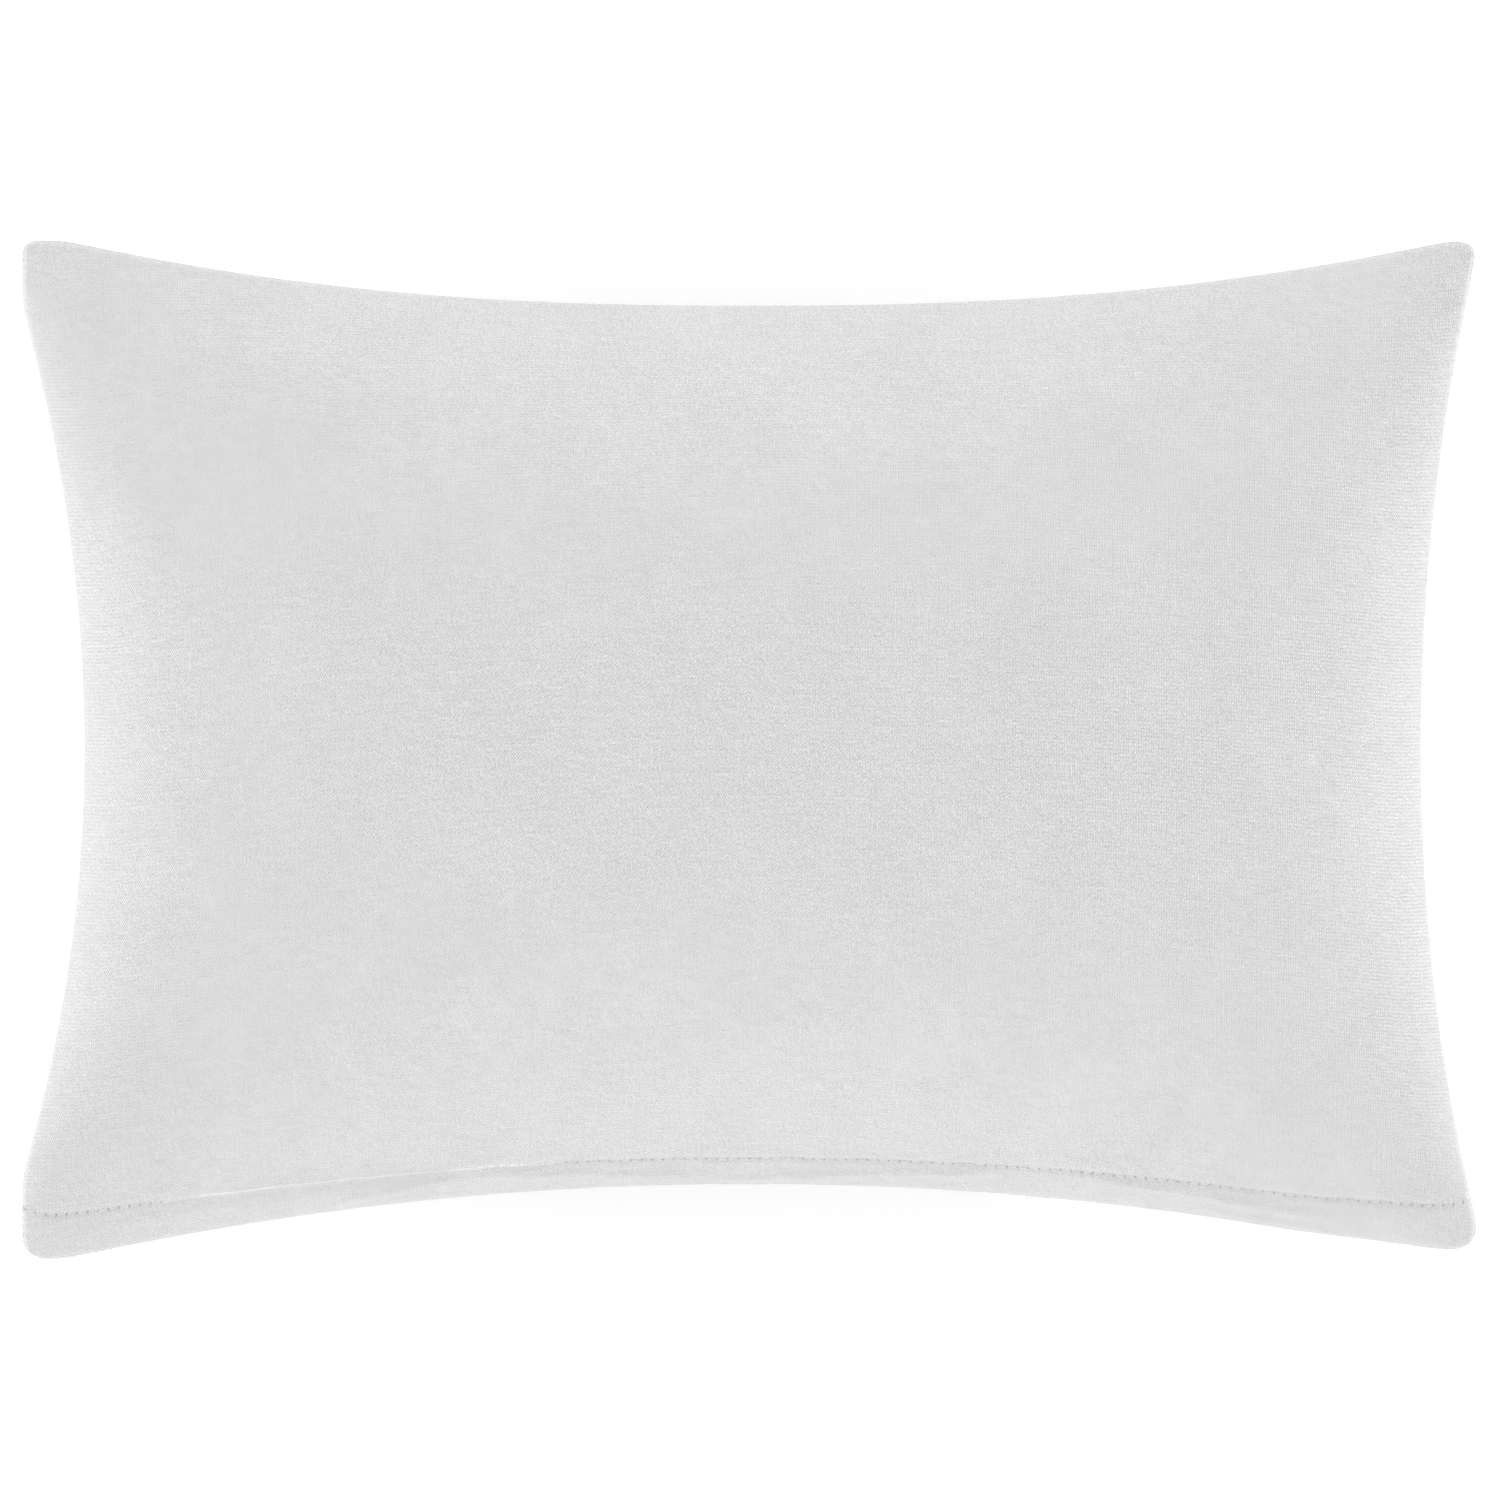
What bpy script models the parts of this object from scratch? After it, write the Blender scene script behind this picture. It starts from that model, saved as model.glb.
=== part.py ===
"""Bed pillow: a fibre-filled inner pillow in a removable knit cover with a lapped zip.

The pillow lies on its back panel with the front panel up. X runs along its length, the zip is in
the -Y edge and Z is up. The origin is on the surface that it lies on, under the middle of its box.
All sizes are in metres.
"""

import math
from dataclasses import dataclass

import bmesh
import bpy
import numpy as np

# The knit cover
COVER_LENGTH = 0.500  # corner to corner along X
COVER_WIDTH = 0.350  # corner to corner along Y
SIDE_PULL = 0.0205  # how far the middle of a short edge draws in from its corners
LONG_PULL = 0.0235  # how far the middle of a long edge draws in from its corners
SEAM_HEIGHT = 0.062  # the seam above the surface that the pillow lies on
CROWN_RISE = 0.076  # the middle of the front panel above the seam
KNIT = 0.0012  # thickness of the jersey
LENGTH_FULLNESS = 0.5  # exponents of the crown along X and Y: 0.5 is an ellipse, 1 a parabola
WIDTH_FULLNESS = 0.85
REST_SHARE = 0.9  # share of the crown above which the back panel lies flat

# The inner pillow
TICKING = 0.0006  # thickness of the woven ticking
INSERT_INSET = 0.012  # how far the inner pillow stays inside the cover's seam
INSERT_ZIP_INSET = 0.018  # and on the zip's side
INSERT_LOOSE = 0.0009  # slack between ticking and knit
FILL_INSET = 0.002  # how far the fibre stays inside the ticking's seam
FILL_LOOSE = 0.0010  # slack between fibre and ticking
FILLING_GAP = 0.120  # length of the seam that is closed last, after filling
LABEL_WIDTH = 0.028
LABEL_LENGTH = 0.009
LABEL_THICKNESS = 0.0004

# Threads
SEAM_THREAD_RADIUS = 0.00035
STITCH_THREAD_RADIUS = 0.00025
LAP_WIDTH = 0.0165  # the topstitch's distance from the edge of the front panel
BACK_STITCH_INSET = 0.003  # the back stitch's distance from the folded edge of the back panel
CLEARANCE = 0.0003  # between pieces that touch
SEAM_GAP = 2 * (SEAM_THREAD_RADIUS + CLEARANCE)  # between two panels' edges: the thread fills it

# The zip
ZIP_LENGTH = 0.364  # coil, between its stops
TAPE_TAIL = 0.008  # tape past each end of the coil
TAPE_THICKNESS = 0.0005
TAPE_SEWN_WIDTH = 0.010  # part of the back tape that lies behind the back panel
COIL_HEIGHT = 0.0015  # one coil, across the tape
COIL_DEPTH = 0.0016
COIL_GAP = 0.0013  # between the two coils
COIL_CLEARANCE = 0.0004  # between the coils and the slider's plates
CHANNEL_CLEARANCE = 0.00035  # between the coils and the slider's flanges, at its tail
TAPE_CLEARANCE = 0.00035  # between a tape and the slider's flanges
SLIDER_LENGTH = 0.009
SLIDER_TAIL_SHARE = 0.86  # the tail's width as a share of the mouth's
SLIDER_WALL = 0.001
SLIDER_FLANGE = 0.0013
SLIDER_ROOM = 0.0004  # between the slider and the panels' edges above and below it
BAIL_INNER_RADIUS = 0.00145
BAIL_BAR = 0.0006
BAIL_WIDTH = 0.0012
BAIL_COVER = 0.00075  # how far the lap's edge reaches past the bail
TAB_LENGTH = 0.022
TAB_WIDTH = 0.005
TAB_THICKNESS = 0.0007
TAB_WINDOW_LENGTH = 0.0025
TAB_FRAME = 0.00075
STOP_LENGTH = 0.0025
BOTTOM_STOP_LENGTH = 0.003

# How finely the sheets are divided
LENGTH_STEPS = 22
WIDTH_STEPS = 14
FILL_LENGTH_STEPS = 16
FILL_WIDTH_STEPS = 12
ZIP_STEPS = 40
ROUND_STEPS = 12

HALF_LENGTH = COVER_LENGTH / 2
HALF_WIDTH = COVER_WIDTH / 2

# The slider, from the coils outwards
COIL_CENTRE = (COIL_GAP + COIL_HEIGHT) / 2  # each coil's middle above or below the zip's middle
COIL_EDGE = COIL_GAP / 2 + COIL_HEIGHT
SLIDER_POST = COIL_GAP - 2 * CLEARANCE
SLIDER_HALF_SLOT = TAPE_THICKNESS / 2 + TAPE_CLEARANCE
SLIDER_INNER_DEPTH = COIL_DEPTH / 2 + COIL_CLEARANCE
SLIDER_HALF_DEPTH = SLIDER_INNER_DEPTH + SLIDER_WALL
SLIDER_CHANNEL = (COIL_EDGE + CHANNEL_CLEARANCE) / SLIDER_TAIL_SHARE
SLIDER_HALF_WIDTH = SLIDER_CHANNEL + SLIDER_FLANGE
SLIDER_PARK = ZIP_LENGTH / 2 - SLIDER_LENGTH / 2 - CLEARANCE
BAIL_OUTER_RADIUS = BAIL_INNER_RADIUS + BAIL_BAR

# The zip's arc: it follows the drawn-in edge, so its centre lies far outside that edge
ZIP_DEPTH = SLIDER_HALF_DEPTH + BAIL_OUTER_RADIUS + BAIL_COVER  # inside the front panel's edge
EDGE_RADIUS = (HALF_LENGTH**2 + LONG_PULL**2) / (2 * LONG_PULL)
ARC_CENTRE_Y = -HALF_WIDTH + LONG_PULL - EDGE_RADIUS
COIL_RADIUS = EDGE_RADIUS + ZIP_DEPTH
ZIP_HEIGHT = SEAM_HEIGHT - SLIDER_HALF_WIDTH - SLIDER_ROOM
TAPE_HALF = ZIP_LENGTH / 2 + TAPE_TAIL

# The back panel's edge beside the zip
BACK_EDGE_HEIGHT = ZIP_HEIGHT - SLIDER_HALF_WIDTH - SLIDER_ROOM
BACK_SINK = SEAM_HEIGHT - SEAM_GAP / 2 - BACK_EDGE_HEIGHT
BACK_RECESS = ZIP_DEPTH - TAPE_THICKNESS / 2 - CLEARANCE
BACK_BLEND = 0.2  # share of the half width over which the back panel returns to its full size
MOUTH_START = TAPE_HALF + 0.004  # the zip's opening narrows from here
MOUTH_END = MOUTH_START + 0.024


@dataclass
class Envelope:
    """Two crowned sheets that meet in one seam, whose edges draw in between the corners."""

    half_length: float
    half_width: float
    shift: float
    side_pull: float
    long_pull: float
    rise: float
    drop: float
    gap: float


def arc_height(share, half_chord, rise):
    """Height of a circular arc above its chord, at a share of the half chord from the middle."""
    radius = (half_chord**2 + rise**2) / (2 * rise)
    return np.sqrt(radius**2 - (share * half_chord) ** 2) - (radius - rise)


def smooth(value):
    """0 below 0, 1 above 1, and a smooth step between."""
    value = np.clip(value, 0.0, 1.0)
    return value * value * (3 - 2 * value)


def plan(envelope, u, v):
    """Plan position of the point at shares u and v of the half length and half width."""
    x = u * (envelope.half_length - arc_height(v, envelope.half_width, envelope.side_pull))
    y = v * (envelope.half_width - arc_height(u, envelope.half_length, envelope.long_pull))
    return x, y + envelope.shift


def crown(u, v):
    """The crown's height as a share of its highest point."""
    along = np.maximum(1 - u * u, 0.0) ** LENGTH_FULLNESS
    return along * np.maximum(1 - v * v, 0.0) ** WIDTH_FULLNESS


def front_sheet(envelope, u, v):
    x, y = plan(envelope, u, v)
    z = SEAM_HEIGHT + envelope.gap / 2 + envelope.rise * crown(u, v)
    return np.stack([x, y, z], axis=-1)


def back_sheet(envelope, u, v):
    """The lower sheet: its crown levels off at the rest face."""
    x, y = plan(envelope, u, v)
    level = 1 - (1 - np.minimum(crown(u, v) / REST_SHARE, 1.0)) ** 2
    z = SEAM_HEIGHT - envelope.gap / 2 - envelope.drop * level
    return np.stack([x, y, z], axis=-1)


def cover_back_sheet(envelope, u, v):
    """The cover's lower sheet, whose -Y edge is set back and down to leave room for the zip."""
    points = back_sheet(envelope, u, v)
    along = 1 - smooth((np.abs(u) * HALF_LENGTH - MOUTH_START) / (MOUTH_END - MOUTH_START))
    amount = along * (1 - smooth((v + 1) / BACK_BLEND))
    points[..., 1] += BACK_RECESS * amount
    points[..., 2] -= BACK_SINK * amount
    return points


COVER = Envelope(
    half_length=HALF_LENGTH,
    half_width=HALF_WIDTH,
    shift=0.0,
    side_pull=SIDE_PULL,
    long_pull=LONG_PULL,
    rise=CROWN_RISE,
    drop=SEAM_HEIGHT - SEAM_GAP / 2 - KNIT,
    gap=SEAM_GAP,
)
INSERT = Envelope(
    half_length=COVER.half_length - INSERT_INSET,
    half_width=COVER.half_width - (INSERT_INSET + INSERT_ZIP_INSET) / 2,
    shift=(INSERT_ZIP_INSET - INSERT_INSET) / 2,
    side_pull=SIDE_PULL,
    long_pull=LONG_PULL,
    rise=COVER.rise - INSERT_LOOSE - TICKING,
    drop=COVER.drop - INSERT_LOOSE - TICKING,
    gap=SEAM_GAP,
)
FILL = Envelope(
    half_length=INSERT.half_length - FILL_INSET,
    half_width=INSERT.half_width - FILL_INSET,
    shift=INSERT.shift,
    side_pull=SIDE_PULL,
    long_pull=LONG_PULL,
    rise=INSERT.rise + SEAM_GAP / 2 - FILL_LOOSE,
    drop=INSERT.drop + SEAM_GAP / 2 - FILL_LOOSE,
    gap=0.0,
)


def clear_scene():
    for obj in list(bpy.data.objects):
        bpy.data.objects.remove(obj, do_unlink=True)


def material(name, colour, roughness, metallic=0.0):
    made = bpy.data.materials.new(name)
    made.use_nodes = True
    shader = made.node_tree.nodes["Principled BSDF"]
    shader.inputs["Base Color"].default_value = (*colour, 1.0)
    shader.inputs["Roughness"].default_value = roughness
    shader.inputs["Metallic"].default_value = metallic
    return made


def add_object(name, data, finish, parent=None):
    obj = bpy.data.objects.new(name, data)
    bpy.context.scene.collection.objects.link(obj)
    data.materials.append(finish)
    obj.parent = parent
    return obj


def add_axis(name, location, turn=0.0, parent=None):
    """An empty on a joint's axis."""
    empty = bpy.data.objects.new(name, None)
    bpy.context.scene.collection.objects.link(empty)
    empty.location = location
    empty.rotation_euler.z = turn
    empty.parent = parent
    return empty


def steps(count):
    """Shares from -1 to 1, closer together towards the ends."""
    return np.round(-np.cos(np.linspace(0.0, math.pi, count + 1)), 9)


def grid_faces(rows, columns, flip=False):
    """Quads of a grid whose points are numbered row by row."""
    first = np.arange(rows - 1)[:, None] * columns + np.arange(columns - 1)
    quads = np.stack([first, first + columns, first + columns + 1, first + 1], axis=-1)
    quads = quads.reshape(-1, 4)
    return (quads[:, ::-1] if flip else quads).tolist()


def sheet_object(name, points, thickness, offset, finish, flip=False):
    """A grid of points as a sheet of fabric. Offset 1 puts the thickness outside the grid."""
    mesh = bpy.data.meshes.new(name)
    rows, columns = points.shape[:2]
    mesh.from_pydata(points.reshape(-1, 3).tolist(), [], grid_faces(rows, columns, flip))
    obj = add_object(name, mesh, finish)
    mesh.shade_smooth()
    solidify = obj.modifiers.new("thickness", "SOLIDIFY")
    solidify.thickness = thickness
    solidify.offset = offset
    return obj


def panel(name, sheet, envelope, thickness, finish, flip=False):
    u, v = np.meshgrid(steps(LENGTH_STEPS), steps(WIDTH_STEPS), indexing="ij")
    return sheet_object(name, sheet(envelope, u, v), thickness, 1.0, finish, flip)


def thread(name, path, radius, finish):
    """A round thread along a path."""
    curve = bpy.data.curves.new(name, "CURVE")
    curve.dimensions = "3D"
    curve.bevel_depth = radius
    curve.bevel_resolution = 1
    curve.use_fill_caps = True
    spline = curve.splines.new("POLY")
    spline.points.add(len(path) - 1)
    for place, point in zip(spline.points, path):
        place.co = (*point, 1.0)
    return add_object(name, curve, finish)


def outline(envelope, u, v, outset):
    """Seam line at shares u and v, moved outwards by outset."""
    grown = Envelope(**vars(envelope))
    grown.half_length += outset
    grown.half_width += outset
    x, y = plan(grown, np.asarray(u, float), np.asarray(v, float))
    return np.stack([x, y, np.full_like(x, SEAM_HEIGHT)], axis=-1)


def edge_run(fixed, moving, along_x):
    """Shares u and v along one edge: one is fixed and the other moves."""
    held = np.full(len(moving), float(fixed))
    return (moving, held) if along_x else (held, moving)


def seam_path(envelope, stop_share, outset):
    """Round three edges and both corners of the fourth, -Y one, up to stop_share of its half."""
    columns = steps(LENGTH_STEPS)
    rows = steps(WIDTH_STEPS)
    corner = np.linspace(stop_share, 1.0, 4)
    runs = [
        edge_run(-1, corner[:-1], True),
        edge_run(1, rows[:-1], False),
        edge_run(1, columns[:0:-1], True),
        edge_run(-1, rows[:0:-1], False),
        edge_run(-1, -corner[::-1], True),
    ]
    return np.concatenate([outline(envelope, u, v, outset) for u, v in runs])


def faceted(sheet):
    """The same sheet with the flat facets that a panel's grid gives it."""
    columns, rows = steps(LENGTH_STEPS), steps(WIDTH_STEPS)

    def between(line, share):
        low = np.clip(np.searchsorted(line, share, side="right") - 1, 0, len(line) - 2)
        part = (share - line[low]) / (line[low + 1] - line[low])
        return line[low], line[low + 1], part[..., None]

    def facets(envelope, u, v):
        left, right, part_u = between(columns, u)
        near, far, part_v = between(rows, v)
        low = sheet(envelope, left, near) * (1 - part_u) + sheet(envelope, right, near) * part_u
        high = sheet(envelope, left, far) * (1 - part_u) + sheet(envelope, right, far) * part_u
        return low * (1 - part_v) + high * part_v

    return facets


def surface_frame(sheet, envelope, u, v, outward):
    """Points of a sheet and their unit normals; outward is 1 for a front sheet, -1 for a back one."""
    step = 1e-4
    along = sheet(envelope, u + step, v) - sheet(envelope, u - step, v)
    across = sheet(envelope, u, v + step) - sheet(envelope, u, v - step)
    normal = np.cross(along, across)
    normal /= np.linalg.norm(normal, axis=-1, keepdims=True)
    return sheet(envelope, u, v), normal * outward


def rows_at_distance(sheet, envelope, u, distance):
    """For each u, the share v whose point lies at a distance along the sheet from the -Y edge."""
    shares = np.linspace(-1.0, 0.0, 400)
    found = []
    for column in u:
        line = sheet(envelope, np.full_like(shares, column), shares)
        lengths = np.linalg.norm(np.diff(line, axis=0), axis=1)
        found.append(np.interp(distance, np.concatenate([[0.0], np.cumsum(lengths)]), shares))
    return np.array(found)


def stitch_path(sheet, u, distance, outward):
    """A stitch line that lies on the outside of a cover panel, at a distance from its -Y edge."""
    v = rows_at_distance(sheet, COVER, u, distance)
    points, normals = surface_frame(faceted(sheet), COVER, u, v, outward)
    return points + normals * (KNIT + CLEARANCE + STITCH_THREAD_RADIUS)


def on_arc(along, inside, height):
    """Points on the zip's arc: distance along it, distance inside the front edge, and height."""
    angle = np.asarray(along, float) / COIL_RADIUS
    radius = EDGE_RADIUS + inside
    x = radius * np.sin(angle)
    y = ARC_CENTRE_Y + radius * np.cos(angle)
    return np.stack([x, y, np.full_like(x, height)], axis=-1)


def tape(name, sheet, outward, inner_height, turn_height, sewn_distance, finish):
    """One zip tape: upright beside its coil, then behind its cover panel as far as its stitches."""
    along = np.linspace(-TAPE_HALF, TAPE_HALF, ZIP_STEPS // 2 + 1)
    coil_side = on_arc(along, ZIP_DEPTH, inner_height)
    turn = on_arc(along, ZIP_DEPTH, turn_height)
    u = turn[:, 0] / HALF_LENGTH
    v = rows_at_distance(sheet, COVER, u, sewn_distance)
    points, normals = surface_frame(faceted(sheet), COVER, u, v, outward)
    sewn = points - normals * (CLEARANCE + TAPE_THICKNESS / 2)
    rails = np.stack([coil_side, turn, sewn], axis=0)
    return sheet_object(name, rails, TAPE_THICKNESS, 0.0, finish, flip=outward < 0)


def rectangle(low_a, high_a, low_b, high_b):
    return [(low_a, low_b), (high_a, low_b), (high_a, high_b), (low_a, high_b)]


def ring_solid(name, rings, finish, parent=None):
    """A closed solid through a row of four-cornered rings."""
    built = bmesh.new()
    rings = [[built.verts.new(corner) for corner in ring] for ring in rings.tolist()]
    for near, far in zip(rings, rings[1:]):
        for i in range(len(near)):
            j = (i + 1) % len(near)
            built.faces.new((near[i], near[j], far[j], far[i]))
    built.faces.new(rings[0])
    built.faces.new(rings[-1])
    bmesh.ops.recalc_face_normals(built, faces=built.faces)
    mesh = bpy.data.meshes.new(name)
    built.to_mesh(mesh)
    built.free()
    return add_object(name, mesh, finish, parent)


def swept_bar(name, start, end, height, depth, tall, count, finish):
    """A bar of rectangular section along the zip's arc."""
    along = np.linspace(start, end, count + 1)
    corners = rectangle(-depth / 2, depth / 2, -tall / 2, tall / 2)
    rings = np.stack([on_arc(along, ZIP_DEPTH + dn, height + dz) for dn, dz in corners], axis=1)
    return ring_solid(name, rings, finish)


def prism(name, profile, axis, low, high, finish, parent):
    """An extruded polygon. Axis 0 extrudes a (y, z) profile along X, axis 1 an (x, z) one along Y."""
    built = bmesh.new()

    def corner(point, level):
        first, second = point
        return (level, first, second) if axis == 0 else (first, level, second)

    base = built.faces.new([built.verts.new(corner(p, low)) for p in profile])
    grown = bmesh.ops.extrude_face_region(built, geom=[base])["geom"]
    moved = [item for item in grown if isinstance(item, bmesh.types.BMVert)]
    shift = corner((0.0, 0.0), high - low)
    bmesh.ops.translate(built, verts=moved, vec=shift)
    bmesh.ops.recalc_face_normals(built, faces=built.faces)
    mesh = bpy.data.meshes.new(name)
    built.to_mesh(mesh)
    built.free()
    return add_object(name, mesh, finish, parent)


def combine(obj, tool, operation):
    """Joins a helper to obj, or cuts it away."""
    tool.hide_render = True
    tool.display_type = "WIRE"
    modifier = obj.modifiers.new(tool.name, "BOOLEAN")
    modifier.operation = operation
    modifier.object = tool
    modifier.solver = "EXACT"


def slider_plate(name, side, finish, parent):
    """One of the slider's two plates with its flanges, tapered towards the tail. Side is -1 or 1."""
    wide = SLIDER_HALF_WIDTH
    clear = SLIDER_CHANNEL
    profile = [
        (SLIDER_HALF_DEPTH * side, -wide),
        (SLIDER_HALF_DEPTH * side, wide),
        (SLIDER_HALF_SLOT * side, wide),
        (SLIDER_HALF_SLOT * side, clear),
        (SLIDER_INNER_DEPTH * side, clear),
        (SLIDER_INNER_DEPTH * side, -clear),
        (SLIDER_HALF_SLOT * side, -clear),
        (SLIDER_HALF_SLOT * side, -wide),
    ]
    half = SLIDER_LENGTH / 2
    plate = prism(name, profile, 0, -half, half, finish, parent)
    for vertex in plate.data.vertices:
        if vertex.co.x < 0:
            vertex.co.z *= SLIDER_TAIL_SHARE
    return plate


def bail(finish, parent):
    """The arch on the slider's outer plate that holds the pull tab. Its feet are sunk in the plate."""
    sunk = math.radians(12)
    angles = np.linspace(-sunk, math.pi + sunk, ROUND_STEPS + 1)
    half = BAIL_WIDTH / 2
    corners = rectangle(BAIL_INNER_RADIUS, BAIL_OUTER_RADIUS, -half, half)
    rings = np.empty((len(angles), len(corners), 3))
    for ring, (radius, height) in zip(rings.swapaxes(0, 1), corners):
        ring[:, 0] = radius * np.cos(angles)
        ring[:, 1] = -SLIDER_HALF_DEPTH - radius * np.sin(angles)
        ring[:, 2] = height
    return ring_solid("bail", rings, finish, parent)


def make_slider(finish, axis):
    """The slider: two plates joined by a post that parts the coils, and a bail outside."""
    slider = slider_plate("zip_slider", -1, finish, axis)
    combine(slider, slider_plate("inner_plate", 1, finish, axis), "UNION")
    reach = SLIDER_HALF_DEPTH - SLIDER_WALL / 2
    mouth = SLIDER_LENGTH / 2 - SLIDER_WALL / 2
    post_profile = rectangle(mouth - 2 * SLIDER_WALL, mouth, -SLIDER_POST / 2, SLIDER_POST / 2)
    combine(slider, prism("post", post_profile, 1, -reach, reach, finish, axis), "UNION")
    combine(slider, bail(finish, axis), "UNION")
    return slider


def make_tab(finish, pivot):
    """The pull tab: a plate with a round end, and a window whose end bar turns inside the bail."""
    bar = TAB_THICKNESS / 2
    window_half = BAIL_WIDTH / 2 + CLEARANCE
    neck = window_half + TAB_FRAME
    window_end = -bar - TAB_WINDOW_LENGTH
    wide = TAB_WIDTH / 2
    shoulder = window_end - TAB_FRAME
    angles = np.linspace(math.pi / 2, 3 * math.pi / 2, ROUND_STEPS + 1)
    end = wide - TAB_LENGTH
    rounded = [(end + wide * math.cos(a), wide * math.sin(a)) for a in angles]
    profile = [(bar, -neck), (bar, neck), (shoulder, neck), (shoulder - TAB_FRAME, wide)]
    profile += rounded + [(shoulder - TAB_FRAME, -wide), (shoulder, -neck)]
    tab = prism("zip_pull_tab", profile, 1, -bar, bar, finish, pivot)
    hole = rectangle(window_end, -bar, -window_half, window_half)
    combine(tab, prism("tab_window", hole, 1, -2 * bar, 2 * bar, finish, pivot), "DIFFERENCE")
    return tab


def make_fill(finish):
    """The fibre filling, one closed solid."""
    u, v = np.meshgrid(steps(FILL_LENGTH_STEPS), steps(FILL_WIDTH_STEPS), indexing="ij")
    rows, columns = u.shape
    upper = front_sheet(FILL, u, v).reshape(-1, 3)
    lower = back_sheet(FILL, u, v).reshape(-1, 3)
    faces = grid_faces(rows, columns)
    under = [[i + len(upper) for i in face] for face in grid_faces(rows, columns, True)]
    mesh = bpy.data.meshes.new("fibre_fill")
    mesh.from_pydata(np.concatenate([upper, lower]).tolist(), [], faces + under)
    built = bmesh.new()
    built.from_mesh(mesh)
    bmesh.ops.remove_doubles(built, verts=built.verts, dist=1e-6)
    built.to_mesh(mesh)
    built.free()
    mesh.shade_smooth()
    return add_object("fibre_fill", mesh, finish)


def make_label(finish):
    """A blank care label that stands out of the inner pillow's -X seam."""
    middle = INSERT.shift
    seam = outline(INSERT, *edge_run(-1, steps(WIDTH_STEPS), False), TICKING / 2)
    seam_x = np.interp(middle + LABEL_WIDTH / 2, seam[:, 1], seam[:, 0])
    near = seam_x - SEAM_THREAD_RADIUS - CLEARANCE
    profile = rectangle(middle - LABEL_WIDTH / 2, middle + LABEL_WIDTH / 2, -0.5, 0.5)
    profile = [(y, SEAM_HEIGHT + LABEL_THICKNESS * share) for y, share in profile]
    return prism("care_label", profile, 0, near - LABEL_LENGTH, near, finish, None)


def make_cover(knit, cotton):
    panel("cover_front_panel", front_sheet, COVER, KNIT, knit)
    panel("cover_back_panel", cover_back_sheet, COVER, KNIT, knit, flip=True)
    stop = MOUTH_END / HALF_LENGTH
    seam = seam_path(COVER, stop, KNIT / 2)
    thread("cover_seam_thread", seam, SEAM_THREAD_RADIUS, cotton)
    hem_run = steps(LENGTH_STEPS)[1:-1]
    hem = stitch_path(front_sheet, hem_run, LAP_WIDTH, 1)
    thread("hem_topstitch_thread", hem, STITCH_THREAD_RADIUS, cotton)
    zip_run = np.linspace(-TAPE_HALF, TAPE_HALF, ZIP_STEPS // 2 + 1) / HALF_LENGTH
    back = stitch_path(cover_back_sheet, zip_run, BACK_STITCH_INSET, -1)
    thread("zip_back_stitch_thread", back, STITCH_THREAD_RADIUS, cotton)


def make_insert(ticking, fibre, cotton, ribbon):
    panel("ticking_front_panel", front_sheet, INSERT, TICKING, ticking)
    panel("ticking_back_panel", back_sheet, INSERT, TICKING, ticking, flip=True)
    share = FILLING_GAP / 2 / INSERT.half_length
    spare = 2 * SEAM_THREAD_RADIUS / INSERT.half_length
    seam = seam_path(INSERT, share + spare, TICKING / 2)
    thread("insert_seam_thread", seam, SEAM_THREAD_RADIUS, cotton)
    u, v = edge_run(-1, np.linspace(-share, share, 9), True)
    closing = outline(INSERT, u, v, TICKING / 2)
    thread("insert_closing_thread", closing, SEAM_THREAD_RADIUS, cotton)
    make_fill(fibre)
    make_label(ribbon)


def make_zip(polyester, nylon, metal):
    bend = SEAM_HEIGHT + COIL_DEPTH / 2
    top_height = ZIP_HEIGHT + COIL_EDGE + CLEARANCE
    low_height = ZIP_HEIGHT - COIL_EDGE - CLEARANCE
    tape("zip_tape_front", front_sheet, 1, top_height, bend, LAP_WIDTH, polyester)
    low_bend = BACK_EDGE_HEIGHT
    tape("zip_tape_back", cover_back_sheet, -1, low_height, low_bend, TAPE_SEWN_WIDTH, polyester)
    half = ZIP_LENGTH / 2
    top = half + CLEARANCE
    for side, sign in (("front", 1), ("back", -1)):
        height = ZIP_HEIGHT + sign * COIL_CENTRE
        size = (COIL_DEPTH, COIL_HEIGHT)
        swept_bar(f"zip_coil_{side}", -half, half, height, *size, ZIP_STEPS, nylon)
        swept_bar(f"zip_top_stop_{side}", top, top + STOP_LENGTH, height, *size, 1, metal)
    low = -half - CLEARANCE
    stop_size = (COIL_DEPTH, 2 * COIL_EDGE)
    swept_bar("zip_bottom_stop", low - BOTTOM_STOP_LENGTH, low, ZIP_HEIGHT, *stop_size, 1, metal)


def make_moving_parts(metal):
    """The slider hangs on an empty at the centre of the zip's arc, and the tab on one at its pivot."""
    run = add_axis("slider_run_axis", (0.0, ARC_CENTRE_Y, 0.0))
    angle = SLIDER_PARK / COIL_RADIUS
    place = (COIL_RADIUS * math.sin(angle), COIL_RADIUS * math.cos(angle), ZIP_HEIGHT)
    seat = add_axis("slider_seat", place, -angle, run)
    make_slider(metal, seat)
    reach = SLIDER_HALF_DEPTH + BAIL_INNER_RADIUS / 2
    pivot = add_axis("tab_pivot", (0.0, -reach, 0.0), 0.0, seat)
    make_tab(metal, pivot)


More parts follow.
